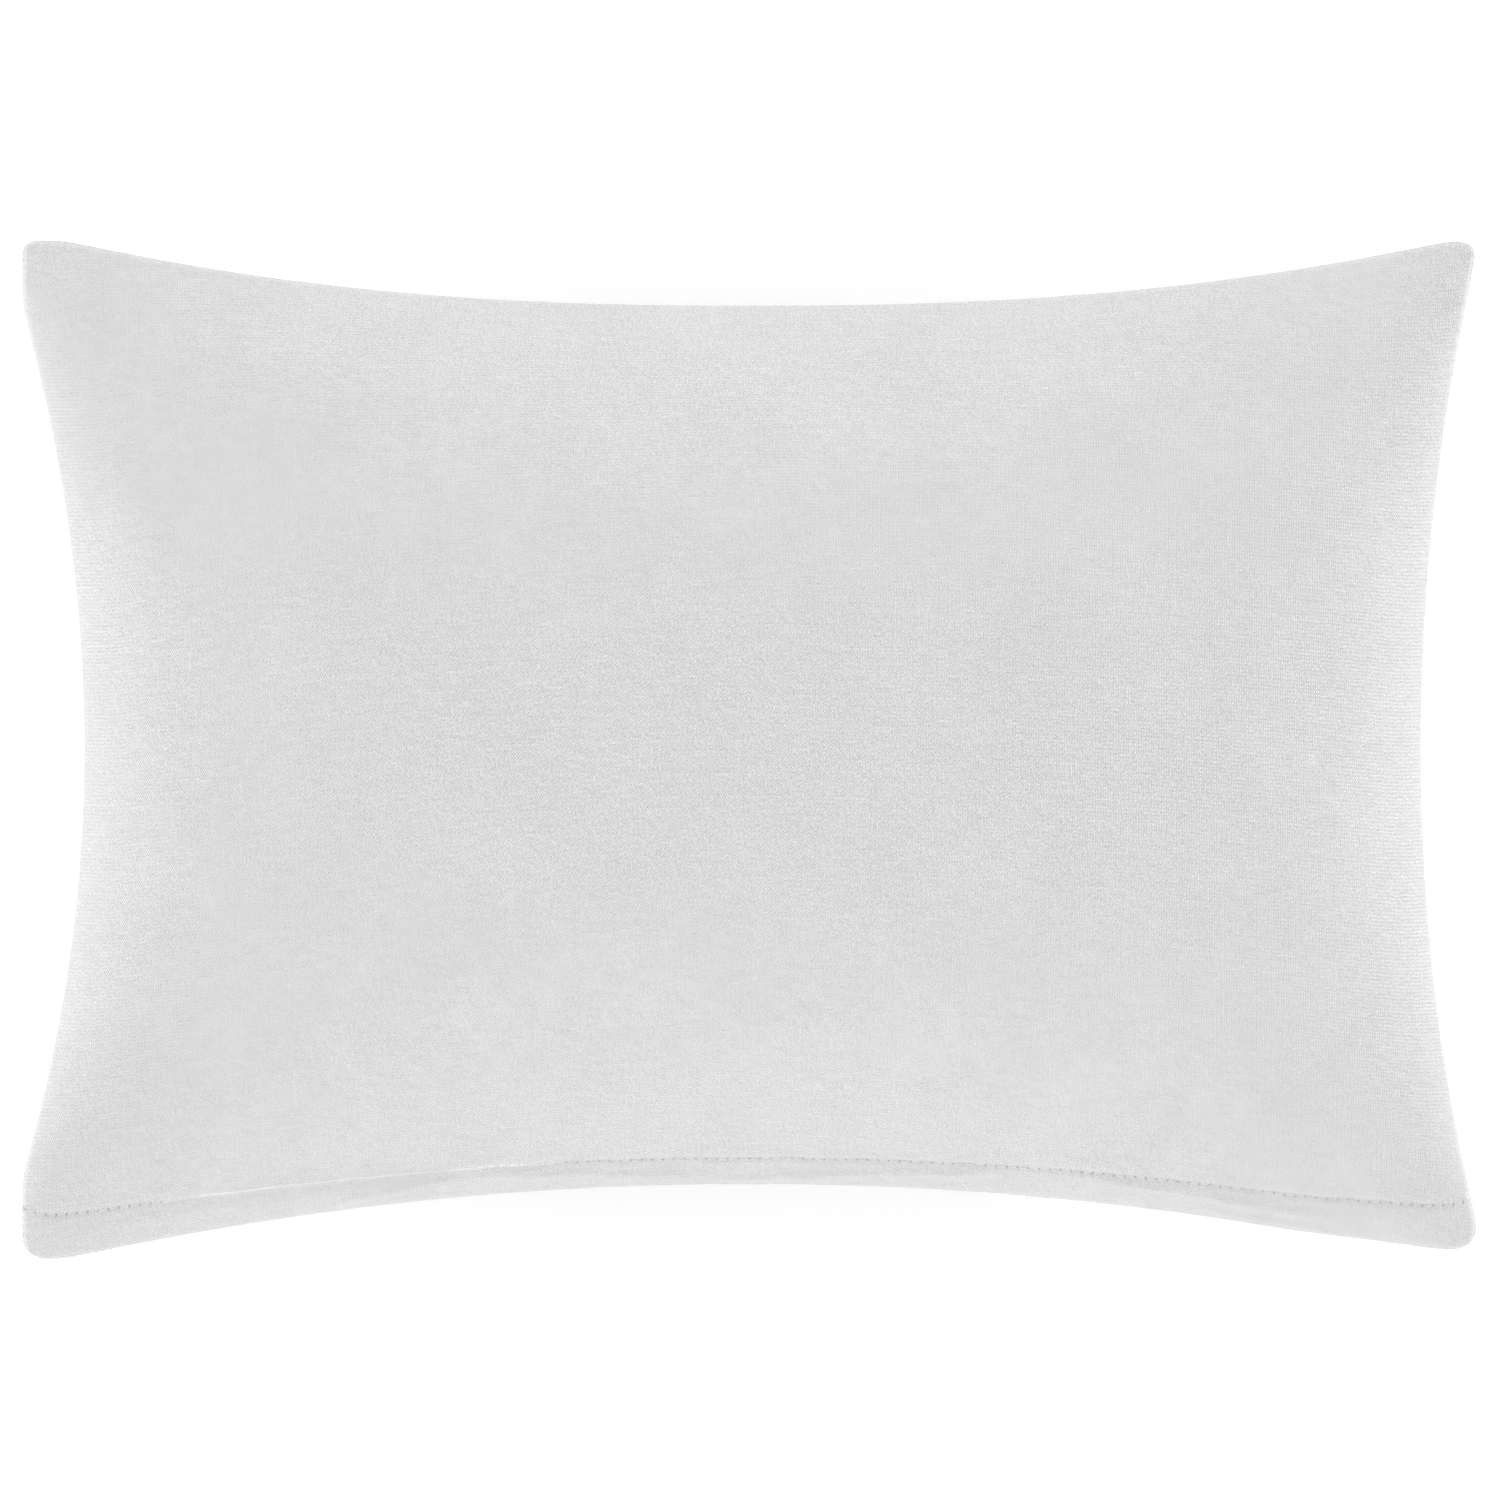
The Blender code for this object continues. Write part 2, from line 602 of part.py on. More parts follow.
def main():
    clear_scene()
    knit = material("grey_white_jersey", (0.78, 0.78, 0.78), 0.9)
    ticking = material("white_ticking", (0.86, 0.86, 0.85), 0.85)
    fibre = material("polyester_fibre", (0.93, 0.93, 0.92), 0.95)
    cotton = material("white_thread", (0.85, 0.85, 0.85), 0.7)
    ribbon = material("white_satin_label", (0.9, 0.9, 0.9), 0.5)
    polyester = material("white_zip_tape", (0.82, 0.82, 0.82), 0.8)
    nylon = material("white_nylon_coil", (0.8, 0.8, 0.8), 0.4)
    metal = material("painted_white_metal", (0.82, 0.82, 0.82), 0.35, 0.0)
    make_cover(knit, cotton)
    make_insert(ticking, fibre, cotton, ribbon)
    make_zip(polyester, nylon, metal)
    make_moving_parts(metal)


main()
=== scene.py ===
"""Small bed pillow: a fibre-filled inner pillow in a jersey cover that zips under a lapped long edge.

Every sheet is a grid over two shares, u along the length and v across the width, each from -1 to 1.
Lengths are in metres.
"""

import math

import bmesh
import bpy
import numpy as np
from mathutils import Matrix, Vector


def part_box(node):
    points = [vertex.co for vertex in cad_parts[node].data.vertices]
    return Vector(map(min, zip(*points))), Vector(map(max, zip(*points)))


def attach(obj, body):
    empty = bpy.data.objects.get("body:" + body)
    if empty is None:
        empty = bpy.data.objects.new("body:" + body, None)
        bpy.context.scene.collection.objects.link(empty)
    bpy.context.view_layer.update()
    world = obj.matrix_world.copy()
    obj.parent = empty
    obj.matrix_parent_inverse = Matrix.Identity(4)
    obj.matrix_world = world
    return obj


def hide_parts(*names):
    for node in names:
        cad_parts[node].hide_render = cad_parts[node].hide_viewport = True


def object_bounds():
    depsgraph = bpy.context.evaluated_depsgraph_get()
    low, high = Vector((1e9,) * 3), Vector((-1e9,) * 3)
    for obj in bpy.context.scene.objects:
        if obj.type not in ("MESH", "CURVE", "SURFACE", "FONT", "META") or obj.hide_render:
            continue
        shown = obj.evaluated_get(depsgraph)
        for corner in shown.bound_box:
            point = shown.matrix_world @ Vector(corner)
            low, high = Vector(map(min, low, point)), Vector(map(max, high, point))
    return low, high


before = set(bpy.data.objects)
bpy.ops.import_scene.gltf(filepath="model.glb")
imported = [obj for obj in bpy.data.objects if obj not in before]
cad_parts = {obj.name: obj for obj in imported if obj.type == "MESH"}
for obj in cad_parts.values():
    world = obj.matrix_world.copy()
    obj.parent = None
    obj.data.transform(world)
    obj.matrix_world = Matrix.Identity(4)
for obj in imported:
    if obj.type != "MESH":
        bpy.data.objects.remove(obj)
CAD_BOX = [list(corner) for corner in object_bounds()]

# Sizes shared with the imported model
HALF_LENGTH = 0.250
HALF_WIDTH = 0.175
SEAM_HEIGHT = 0.062
CROWN_RISE = 0.076
LONG_PULL = 0.0235
KNIT = 0.0012
TICKING = 0.0006
SIDE_PULL = 0.0205
SEAM_GAP = 0.0013
LENGTH_FULLNESS = 0.5
WIDTH_FULLNESS = 0.85
REST_SHARE = 0.9
LAP_WIDTH = 0.0165
BACK_STITCH_INSET = 0.003
CLEARANCE = 0.0003
TAPE_THICKNESS = 0.0005
TAPE_SEWN_WIDTH = 0.010
TAPE_HALF = 0.190
ZIP_HALF = 0.182
ZIP_DEPTH = 0.005
COIL_HEIGHT = 0.0015
COIL_DEPTH = 0.0016
COIL_GAP = 0.0013
MOUTH_START = 0.1855  # half length over which the back panel's edge is lowered for the zip
MOUTH_END = 0.194
TUCK_START = 0.201  # and over which it is set back
TUCK_END = 0.216
MOUTH_REACH = 0.2  # share of the half width over which both ease off up the panel
INSERT_INSET = 0.012
INSERT_ZIP_INSET = 0.018
INSERT_SLACK = 0.0015  # between the ticking's inside and the knit's
FILL_INSET = 0.002
FILL_SLACK = 0.0010
TIES_START = 0.0607  # half length at which the inner seam's machine ties begin
CLOSING_SHARE = 0.252  # share u of the stretch between them, closed by hand
EDGE_RADIUS = (HALF_LENGTH**2 + LONG_PULL**2) / (2 * LONG_PULL)
ARC_CENTRE_Y = -HALF_WIDTH + LONG_PULL - EDGE_RADIUS
COIL_RADIUS = EDGE_RADIUS + ZIP_DEPTH
COIL_EDGE = COIL_GAP / 2 + COIL_HEIGHT
ZIP_HEIGHT = 0.0573930233
BACK_EDGE_HEIGHT = 2 * ZIP_HEIGHT - SEAM_HEIGHT
BACK_SINK = SEAM_HEIGHT - SEAM_GAP / 2 - BACK_EDGE_HEIGHT
BACK_RECESS = ZIP_DEPTH - TAPE_THICKNESS / 2 - CLEARANCE

# The sewn outline: how the four edges draw in
LEFT_PULL = 0.0218
RIGHT_PULL = 0.0200
TOP_PULL = 0.0229
NEAR_PULL = 0.0267
FLARE = 0.0010  # how far the four corners stand out past the half sizes
ROLL = 0.0018  # width of the turned edge beside a seam
ROLL_DEPTH = 0.0011
FAR_RIGHT_ROUND = 0.0065
FAR_LEFT_ROUND = 0.0045
NEAR_ROUND = 0.0085
NEAR_RIGHT_LIFT = 0.0034

# Topstitch
STITCH_PITCH = 0.0037
STITCH_SHOWN = 0.0025
THREAD_RADIUS = 0.00019
ROW_END = 0.992  # share u at which the row stops
TAUT_START = 0.192  # the stretch towards the left end where the row pulls tight
TAUT_END = 0.106
TAUT_EASE = 0.020

# Knit gauge
WALE = 0.00089
COURSE = 0.00127

# Jersey: its two greys, and how much each pattern in it shows
JERSEY_SHADE = (0.50, 0.50, 0.50)
JERSEY_LIGHT = (0.97, 0.97, 0.97)
LEG_CONTRAST = 0.33
STREAK_CONTRAST = 1.65
FIBRE_CONTRAST = 1.0
SLUB_CONTRAST = 0.30
PATCH_CONTRAST = 0.20

STAGE_GREY = (0.93, 0.93, 0.93)


def smooth(value):
    """0 below 0, 1 above 1 and 3t^2 - 2t^3 between."""
    value = np.clip(value, 0.0, 1.0)
    return value * value * (3 - 2 * value)


def arc_height(share, half_chord, rise):
    """Height of a circle's arc over its chord: sqrt(R^2 - (share c)^2) less (R - rise)."""
    radius = (half_chord**2 + rise**2) / (2 * rise)
    return np.sqrt(radius**2 - (share * half_chord) ** 2) - (radius - rise)


def unit(vectors):
    """Each vector divided by its length."""
    return vectors / np.maximum(np.linalg.norm(vectors, axis=-1, keepdims=True), 1e-12)


def spans(points, axis):
    """Distance from each point to the next one along an axis of a grid."""
    return np.linalg.norm(np.diff(points, axis=axis), axis=-1)


def steps(count):
    """Shares from -1 to 1 as minus the cosine of even angles, so that edges get the finest rows."""
    return -np.cos(np.linspace(0.0, math.pi, count + 1))


def short_edge(v, pull, upper_ear, lower_ear):
    """Draw of a short edge: a parabola pull (1 - (v/ear)^2), eased to nought past each ear."""
    ear = np.where(v > 0, upper_ear, lower_ear)
    bow = 1 - (v / ear) ** 2
    return pull * 0.5 * (bow + np.sqrt(bow * bow + 0.003))


def long_bow(u, pull, left_ear, right_ear, power):
    """Draw of a long edge: pull (1 - |u / ear|^power), eased to nought past each ear."""
    ear = np.where(u > 0, right_ear, left_ear)
    bow = 1 - np.abs(u / ear) ** power
    return pull * 0.5 * (bow + np.sqrt(bow * bow + 0.002))


def long_edge(u, v):
    """Draw of the near long edge passing into that of the far one across the width."""
    near = long_bow(u, NEAR_PULL, 0.95, 0.955, 2.05)
    far = long_bow(u, TOP_PULL, 0.945, 0.968, 2.4)
    far_share = smooth((v + 0.6) / 1.2)
    return near * (1 - far_share) + far * far_share


def round_corners(u, v):
    """Corner squares pressed to quarter discs: p goes to p sqrt(1 - q^2/2), and q the same with p."""
    radius = np.where(v > 0, np.where(u > 0, FAR_RIGHT_ROUND, FAR_LEFT_ROUND), NEAR_ROUND)
    p = np.clip(1 - (1 - np.abs(u)) * HALF_LENGTH / radius, 0.0, 1.0)
    q = np.clip(1 - (1 - np.abs(v)) * HALF_WIDTH / radius, 0.0, 1.0)
    inward_x = (p - p * np.sqrt(1 - q * q / 2)) * radius
    inward_y = (q - q * np.sqrt(1 - p * p / 2)) * radius
    return inward_x, inward_y


def cover_plan(u, v):
    """Plan of the sewn cover: u and v times the half sizes less the draw, corners rounded."""
    left = short_edge(v, LEFT_PULL, 0.87, 0.84) - FLARE
    right = short_edge(v, RIGHT_PULL, 0.985, 0.955) - FLARE
    share = smooth((u + 1) / 2)
    inward_x, inward_y = round_corners(u, v)
    x = u * (HALF_LENGTH - left * (1 - share) - right * share)
    y = v * (HALF_WIDTH + FLARE - long_edge(u, v))
    lifted = NEAR_RIGHT_LIFT * smooth((u - 0.72) / 0.28) * smooth((-v - 0.5) / 0.5)
    return x - np.sign(u) * inward_x, y - np.sign(v) * inward_y + lifted


def crown(u, v):
    """Height share (1 - u^2)^a (1 - v^2)^b."""
    along = np.maximum(1 - u * u, 0.0) ** LENGTH_FULLNESS
    return along * np.maximum(1 - v * v, 0.0) ** WIDTH_FULLNESS


def mouth(u, v, start, end):
    """1 along the near edge as far as a start, easing to 0 at an end and up the panel."""
    along = 1 - smooth((np.abs(u) * HALF_LENGTH - start) / (end - start))
    return along * (1 - smooth((v + 1) / MOUTH_REACH))


def tuck(u, v):
    """How far the back panel's near edge is set back, to lie just outside the zip tape's arc."""
    edge_x, edge_y = cover_plan(u, np.full(np.shape(v), -1.0))
    arc_y = ARC_CENTRE_Y + np.sqrt(EDGE_RADIUS**2 - edge_x**2)
    share = mouth(u, v, TUCK_START, TUCK_END)
    return np.maximum(arc_y + BACK_RECESS - edge_y, 0.0) * share


def front_form(u, v):
    """Inside of the front panel: the plan lifted by rise times the crown."""
    x, y = cover_plan(u, v)
    z = SEAM_HEIGHT + SEAM_GAP / 2 + CROWN_RISE * crown(u, v)
    return np.stack([x, y, z], axis=-1)


def back_form(u, v):
    """Inside of the back panel: the plan lowered by a crown that levels off where it lies flat."""
    x, y = cover_plan(u, v)
    drop = SEAM_HEIGHT - SEAM_GAP / 2 - KNIT
    level = 1 - (1 - np.minimum(crown(u, v) / REST_SHARE, 1.0)) ** 2
    z = SEAM_HEIGHT - SEAM_GAP / 2 - drop * level
    opening = mouth(u, v, MOUTH_START, MOUTH_END)
    return np.stack([x, y + tuck(u, v), z - BACK_SINK * opening], axis=-1)


def facing(form, u, v, outward):
    """Unit normals from small differences of a form, taken just inside its edges."""
    step = 2e-4
    held_u = np.clip(u, -1 + 2 * step, 1 - 2 * step)
    held_v = np.clip(v, -1 + 2 * step, 1 - 2 * step)
    along = form(held_u + step, held_v) - form(held_u - step, held_v)
    across = form(held_u, held_v + step) - form(held_u, held_v - step)
    return unit(np.cross(along, across)) * outward


def rolled(points, u, v, outward):
    """Edges turned under beside the seam: a quarter round inwards and down to the seam's line."""
    turn_u = np.clip(1 - (1 - np.abs(u)) * HALF_LENGTH / ROLL, 0.0, 1.0)
    turn_v = np.clip(1 - (1 - np.abs(v)) * HALF_WIDTH / ROLL, 0.0, 1.0)
    inset_u = 1 - np.sqrt(1 - turn_u**2)
    inset_v = 1 - np.sqrt(1 - turn_v**2)
    under = np.maximum(turn_u, turn_v) ** 1.7
    target = SEAM_HEIGHT + 0.00005 * outward
    if outward < 0:
        target = target - (BACK_SINK + SEAM_GAP / 2) * mouth(u, v, MOUTH_START, MOUTH_END)
    turned = points.copy()
    turned[..., 0] -= np.sign(u) * inset_u * ROLL_DEPTH
    turned[..., 1] -= np.sign(v) * inset_v * ROLL_DEPTH
    turned[..., 2] = points[..., 2] * (1 - under) + target * under
    return turned


def hem_distance(u, v):
    """Distance along the front panel from its near edge, summed over fine rows and read back at v."""
    shares = -1 + 0.3 * np.linspace(0.0, 1.0, 160) ** 1.5
    columns = np.unique(u)
    line = front_form(columns[None, :], shares[:, None])
    run = spans(line, 0)
    run = np.concatenate([np.zeros((1, len(columns))), np.cumsum(run, axis=0)])
    column = np.searchsorted(columns, u)
    row = np.clip(((np.clip(v + 1, 0, 0.3) / 0.3) ** (1 / 1.5)) * 159, 0, 158.999)
    low = row.astype(int)
    part = row - low
    near = run[low, column] * (1 - part) + run[low + 1, column] * part
    return near + np.maximum(v + 0.7, 0.0) * HALF_WIDTH


def row_at(form, u, distance):
    """Share v whose point lies at a distance up the panel from the near edge, by interpolation."""
    shares = -1 + 0.3 * np.linspace(0.0, 1.0, 400) ** 1.5
    line = form(u[None, :], shares[:, None])
    run = np.cumsum(spans(line, 0), axis=0)
    run = np.concatenate([np.zeros((1, len(u))), run])
    low = np.clip((run < distance).sum(axis=0) - 1, 0, len(shares) - 2)
    column = np.arange(len(u))
    part = (distance - run[low, column]) / (run[low + 1, column] - run[low, column])
    return shares[low] * (1 - part) + shares[low + 1] * part


# Soft ripples in the lap: both ends (along, up from the edge), half width, height, all in mm
LAP_RIPPLES = (
    (-150, 6.0, -96, 12.5, 2.2, 0.90),
    (-100, 13.5, -10, 8.5, 2.0, 1.40),
    (-60, 7.5, 40, 7.0, 1.8, 1.00),
    (0, 8.0, 92, 13.5, 2.0, 1.20),
    (40, 4.5, 104, 6.0, 1.8, 0.50),
    (112, 14.5, 206, 8.5, 1.9, 1.10),
    (150, 4.5, 196, 3.5, 1.6, 0.40),
    (-224, 9.0, -176, 12.0, 2.2, 0.50),
)


def lap_ripples(along, up):
    """Sum of soft ridges: height times exp(-(d / w)^2), d the distance to a short straight line."""
    total = np.zeros_like(along)
    for start_x, start_y, end_x, end_y, wide, tall in LAP_RIPPLES:
        run = np.array([end_x - start_x, end_y - start_y], float)
        away_x = along * 1000 - start_x
        away_y = up * 1000 - start_y
        share = np.clip((away_x * run[0] + away_y * run[1]) / (run @ run), 0.0, 1.0)
        gap = np.hypot(away_x - share * run[0], away_y - share * run[1])
        fade = smooth(share / 0.25) * smooth((1 - share) / 0.25)
        total += tall / 1000 * np.exp(-((gap / wide) ** 2)) * (0.15 + 0.85 * fade)
    return total


def row_step(along, from_row):
    """Where the row pulls tight: a thin ridge on it over a wider dip below, each h exp(-(d / w)^2)."""
    reach = smooth((along + TAUT_START) / TAUT_EASE) * (1 - smooth((along + TAUT_END) / TAUT_EASE))
    ridge = 0.00085 * np.exp(-(((from_row - 0.0006) / 0.0009) ** 2))
    dip = 0.00080 * np.exp(-(((from_row + 0.0022) / 0.0018) ** 2))
    return (ridge - dip) * reach, reach


def soft_waves(x, y, seed, count, shortest, longest):
    """Sum of plane sine waves of random heading, length and phase, about 1 high in all."""
    chance = np.random.default_rng(seed)
    heading = chance.uniform(0, 2 * math.pi, count)
    length = chance.uniform(shortest, longest, count)
    phase = chance.uniform(0, 2 * math.pi, count)
    total = np.zeros_like(x)
    for turn, wave, start in zip(heading, length, phase):
        total += np.sin((x * math.cos(turn) + y * math.sin(turn)) * 2 * math.pi / wave + start)
    return total / math.sqrt(count)


def front_relief(u, v):
    """Height off the smooth front: filling unevenness, the stitched groove and the lap's ripples."""
    along = u * HALF_LENGTH
    up = hem_distance(u, v)
    inside = smooth((1 - np.abs(u)) * HALF_LENGTH / 0.05) * smooth(up / 0.07 - 0.35)
    inside = inside * smooth((1 - v) * HALF_WIDTH / 0.05)
    lumps = 0.00045 * soft_waves(along, v * HALF_WIDTH, 5, 9, 0.06, 0.15) * inside
    from_row = up - LAP_WIDTH
    step, tight = row_step(along, from_row)
    groove = -0.00055 * np.exp(-((from_row / 0.0012) ** 2)) * (1 - 0.4 * tight) + step
    shoulder = 0.00030 * np.exp(-(((from_row - 0.0032) / 0.0022) ** 2))
    lap = smooth(up / 0.004) * (1 - smooth((from_row + 0.0006) / 0.0012))
    swell = 0.00050 * np.sin(np.clip(up / LAP_WIDTH, 0, 1) * math.pi)
    pull = 0.00012 * np.sin(along * 2 * math.pi / (2.5 * STITCH_PITCH)) ** 2
    pull = pull * np.exp(-((from_row / 0.004) ** 2))
    ends = smooth((1 - np.abs(u)) * HALF_LENGTH / 0.010)
    hem = groove + shoulder + pull + lap * (swell + lap_ripples(along, up))
    gathers = 0.00035 * soft_waves(along * 1.6, up * 0.5, 11, 5, 0.018, 0.04)
    gathers = gathers * smooth(up / 0.003) * (1 - smooth(up / 0.026))
    pucker_x = (along - 0.2425) / 0.0032
    pucker_y = (v * HALF_WIDTH - 0.1525) / 0.0024
    pucker = 0.0011 * np.exp(-(pucker_x**2) - pucker_y**2)
    return lumps - pucker + (hem + gathers + 0.0003 * smooth(1 - up / 0.03)) * ends


def back_relief(u, v):
    """Height off the smooth back: filling unevenness above the rest face and soft edge gathers."""
    along = u * HALF_LENGTH
    edge = smooth((1 - np.abs(v)) * HALF_WIDTH / 0.03) * smooth((1 - np.abs(u)) * HALF_LENGTH / 0.03)
    hanging = 1 - smooth((crown(u, v) - 0.45) / 0.3)
    lumps = 0.0006 * soft_waves(along, v * HALF_WIDTH, 8, 8, 0.03, 0.09)
    return lumps * edge * hanging


def grid_quads(rows, columns, flip):
    """Quads of a grid numbered row by row, turned over where flip is true."""
    first = np.arange(rows - 1)[:, None] * columns + np.arange(columns - 1)
    quads = np.stack([first, first + columns, first + columns + 1, first + 1], axis=-1)
    quads = quads.reshape(-1, 4)
    return quads[:, ::-1] if flip else quads


def mesh_of(name, points, quads):
    """A mesh whose coordinates and corner lists are written as whole arrays."""
    mesh = bpy.data.meshes.new(name)
    mesh.vertices.add(len(points))
    mesh.vertices.foreach_set("co", points.astype(np.float32).ravel())
    mesh.loops.add(quads.size)
    mesh.loops.foreach_set("vertex_index", quads.astype(np.int32).ravel())
    mesh.polygons.add(len(quads))
    starts = np.arange(0, quads.size, quads.shape[1], dtype=np.int32)
    mesh.polygons.foreach_set("loop_start", starts)
    mesh.update(calc_edges=True)
    mesh.validate()
    return mesh


def placed(name, data):
    """A new object in the scene."""
    thing = bpy.data.objects.new(name, data)
    bpy.context.scene.collection.objects.link(thing)
    return thing


def put_map(mesh, name, values):
    """A UV map from one pair of numbers for each vertex."""
    corners = np.zeros(len(mesh.loops), np.int32)
    mesh.loops.foreach_get("vertex_index", corners)
    layer = mesh.uv_layers.new(name=name)
    layer.data.foreach_set("uv", values[corners].astype(np.float32).ravel())


def piece_of(mesh, finish, body, replaced):
    """The object for a mesh, with its finish, the body that it rides on and the nodes it replaces."""
    piece = placed(mesh.name, mesh)
    mesh.materials.append(finish)
    mesh.shade_smooth()
    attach(piece, body)
    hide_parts(*replaced)
    return piece


def cloth_run(points):
    """Lengths along the cloth from its middle, in metres: u summed along rows and v up columns."""
    rows, columns = points.shape[:2]
    along = np.cumsum(spans(points, 0), axis=0)
    along = np.concatenate([np.zeros((1, columns)), along])
    up = np.cumsum(spans(points, 1), axis=1)
    up = np.concatenate([np.zeros((rows, 1)), up], axis=1)
    along = along - along[rows // 2][None, :]
    up = up - up[:, columns // 2][:, None]
    return np.stack([along, up], axis=-1)


def fabric(name, points, thickness, finish, replaced, outward, extra=None):
    """A sheet of fabric through a grid of its outer face, with its thickness put inside."""
    rows, columns = points.shape[:2]
    quads = grid_quads(rows, columns, outward < 0)
    mesh = mesh_of(name, points.reshape(-1, 3), quads)
    put_map(mesh, "cloth", cloth_run(points).reshape(-1, 2))
    if extra is not None:
        put_map(mesh, "stitch_row", extra.reshape(-1, 2))
    piece = piece_of(mesh, finish, "pillow", replaced)
    wall = piece.modifiers.new("thickness", "SOLIDIFY")
    wall.thickness = thickness
    wall.offset = -1.0
    return piece


def tubes(name, centre, side, lift, radius, around, finish, body, replaced):
    """Round bars: centre + r (cos a side + sin a lift) for each bar, ring and angle, capped flat."""
    bars, rings = centre.shape[:2]
    turn = np.linspace(0, 2 * math.pi, around, endpoint=False)
    ring_radius = np.broadcast_to(radius, (rings,))[None, :, None, None]
    spread = np.cos(turn)[:, None] * side[:, :, None, :] + np.sin(turn)[:, None] * lift[:, :, None, :]
    points = centre[:, :, None, :] + ring_radius * spread
    first = np.arange(bars)[:, None, None] * rings * around
    ring = np.arange(rings - 1)[None, :, None] * around
    spot = np.arange(around)[None, None, :]
    after = (spot + 1) % around
    base = first + ring
    quads = np.stack([base + spot, base + after, base + around + after, base + around + spot], axis=-1)
    built = mesh_of(name, points.reshape(-1, 3), quads.reshape(-1, 4))
    length = np.cumsum(spans(centre, 1), axis=1)
    length = np.concatenate([np.zeros((bars, 1)), length], axis=1)
    along = np.broadcast_to(length[:, :, None], (bars, rings, around))
    angle = np.broadcast_to(turn / (2 * math.pi), (bars, rings, around))
    put_map(built, "yarn", np.stack([along, angle], axis=-1).reshape(-1, 2))
    shell = bmesh.new()
    shell.from_mesh(built)
    bmesh.ops.holes_fill(shell, edges=[e for e in shell.edges if e.is_boundary], sides=around)
    bmesh.ops.recalc_face_normals(shell, faces=shell.faces)
    shell.to_mesh(built)
    shell.free()
    return piece_of(built, finish, body, replaced)


# ---- finishes


class Recipe:
    """A node material in the making: each call adds one node and joins its inputs."""

    def __init__(self, name, colour, roughness):
        """A shader of one colour and roughness, which the other calls add to."""
        self.material = bpy.data.materials.new(name)
        self.material.use_nodes = True
        self.nodes = self.material.node_tree.nodes
        self.links = self.material.node_tree.links
        self.shader = self.nodes["Principled BSDF"]
        self.shader.inputs["Base Color"].default_value = (*colour, 1.0)
        self.shader.inputs["Roughness"].default_value = roughness

    def join(self, value, socket):
        """Set a socket to a number or link another node's output to it."""
        if isinstance(value, (int, float)):
            socket.default_value = value
        else:
            self.links.new(value, socket)

    def math(self, operation, first, second=0.0, third=0.0):
        """One sum on up to three values."""
        node = self.nodes.new("ShaderNodeMath")
        node.operation = operation
        self.join(first, node.inputs[0])
        self.join(second, node.inputs[1])
        self.join(third, node.inputs[2])
        return node.outputs[0]

    def times(self, first, second):
        """The product of two values."""
        return self.math("MULTIPLY", first, second)

    def ramp(self, value, slope, start):
        """A value times a slope plus a start."""
        return self.math("MULTIPLY_ADD", value, slope, start)

    def wave(self, value, rate):
        """The sine of a value times a rate."""
        return self.math("SINE", self.times(value, rate))

    def cloth(self, name):
        """The two lengths along the cloth, from a UV map."""
        node = self.nodes.new("ShaderNodeUVMap")
        node.uv_map = name
        apart = self.nodes.new("ShaderNodeSeparateXYZ")
        self.links.new(node.outputs[0], apart.inputs[0])
        return apart.outputs[0], apart.outputs[1]

    def place(self, x, y, z=0.0):
        """A position from three values."""
        node = self.nodes.new("ShaderNodeCombineXYZ")
        self.join(x, node.inputs[0])
        self.join(y, node.inputs[1])
        self.join(z, node.inputs[2])
        return node.outputs[0]

    def object_place(self):
        """The position on the object, in its own frame."""
        node = self.nodes.new("ShaderNodeTexCoord")
        return node.outputs["Object"]

    def noise(self, vector, scale, detail=2.0, roughness=0.5):
        """Cloudy noise about 1/2 at a scale in lumps to the metre."""
        node = self.nodes.new("ShaderNodeTexNoise")
        self.links.new(vector, node.inputs["Vector"])
        node.inputs["Scale"].default_value = scale
        node.inputs["Detail"].default_value = detail
        node.inputs["Roughness"].default_value = roughness
        return node.outputs[0]

    def tint(self, amount, low, high):
        """The base colour between two colours by an amount."""
        node = self.nodes.new("ShaderNodeMix")
        node.data_type = "RGBA"
        self.join(amount, node.inputs["Factor"])
        node.inputs["A"].default_value = (*low, 1.0)
        node.inputs["B"].default_value = (*high, 1.0)
        self.links.new(node.outputs["Result"], self.shader.inputs["Base Color"])

    def rough(self, amount, low, high):
        """The roughness between two values by an amount."""
        spread = self.ramp(amount, high - low, low)
        self.links.new(spread, self.shader.inputs["Roughness"])

    def bump(self, height, distance, strength=1.0):
        """Fine relief: a height of 1 stands out by the distance."""
        node = self.nodes.new("ShaderNodeBump")
        node.inputs["Strength"].default_value = strength
        node.inputs["Distance"].default_value = distance
        self.join(height, node.inputs["Height"])
        self.links.new(node.outputs[0], self.shader.inputs["Normal"])

    def fuzz(self, weight, roughness):
        """A nap of loose fibres, which catches light at a slant."""
        self.shader.inputs["Sheen Weight"].default_value = weight
        self.shader.inputs["Sheen Roughness"].default_value = roughness


def slanted_legs(recipe, along, up):
    """The loops' two legs as light and dark: sin 2 pi (wale + course) and sin 2 pi (wale - course)."""
    wale = recipe.math("DIVIDE", along, WALE)
    course = recipe.math("DIVIDE", up, COURSE)
    both = []
    for operation in ("ADD", "SUBTRACT"):
        turn = recipe.math(operation, wale, course)
        both.append(recipe.wave(turn, 2 * math.pi))
    return both


def centred(recipe, pattern, contrast, base):
    """A noise added about its middle, base + contrast (pattern - 1/2)."""
    spread = recipe.ramp(pattern, contrast, -contrast / 2)
    return recipe.math("ADD", base, spread)


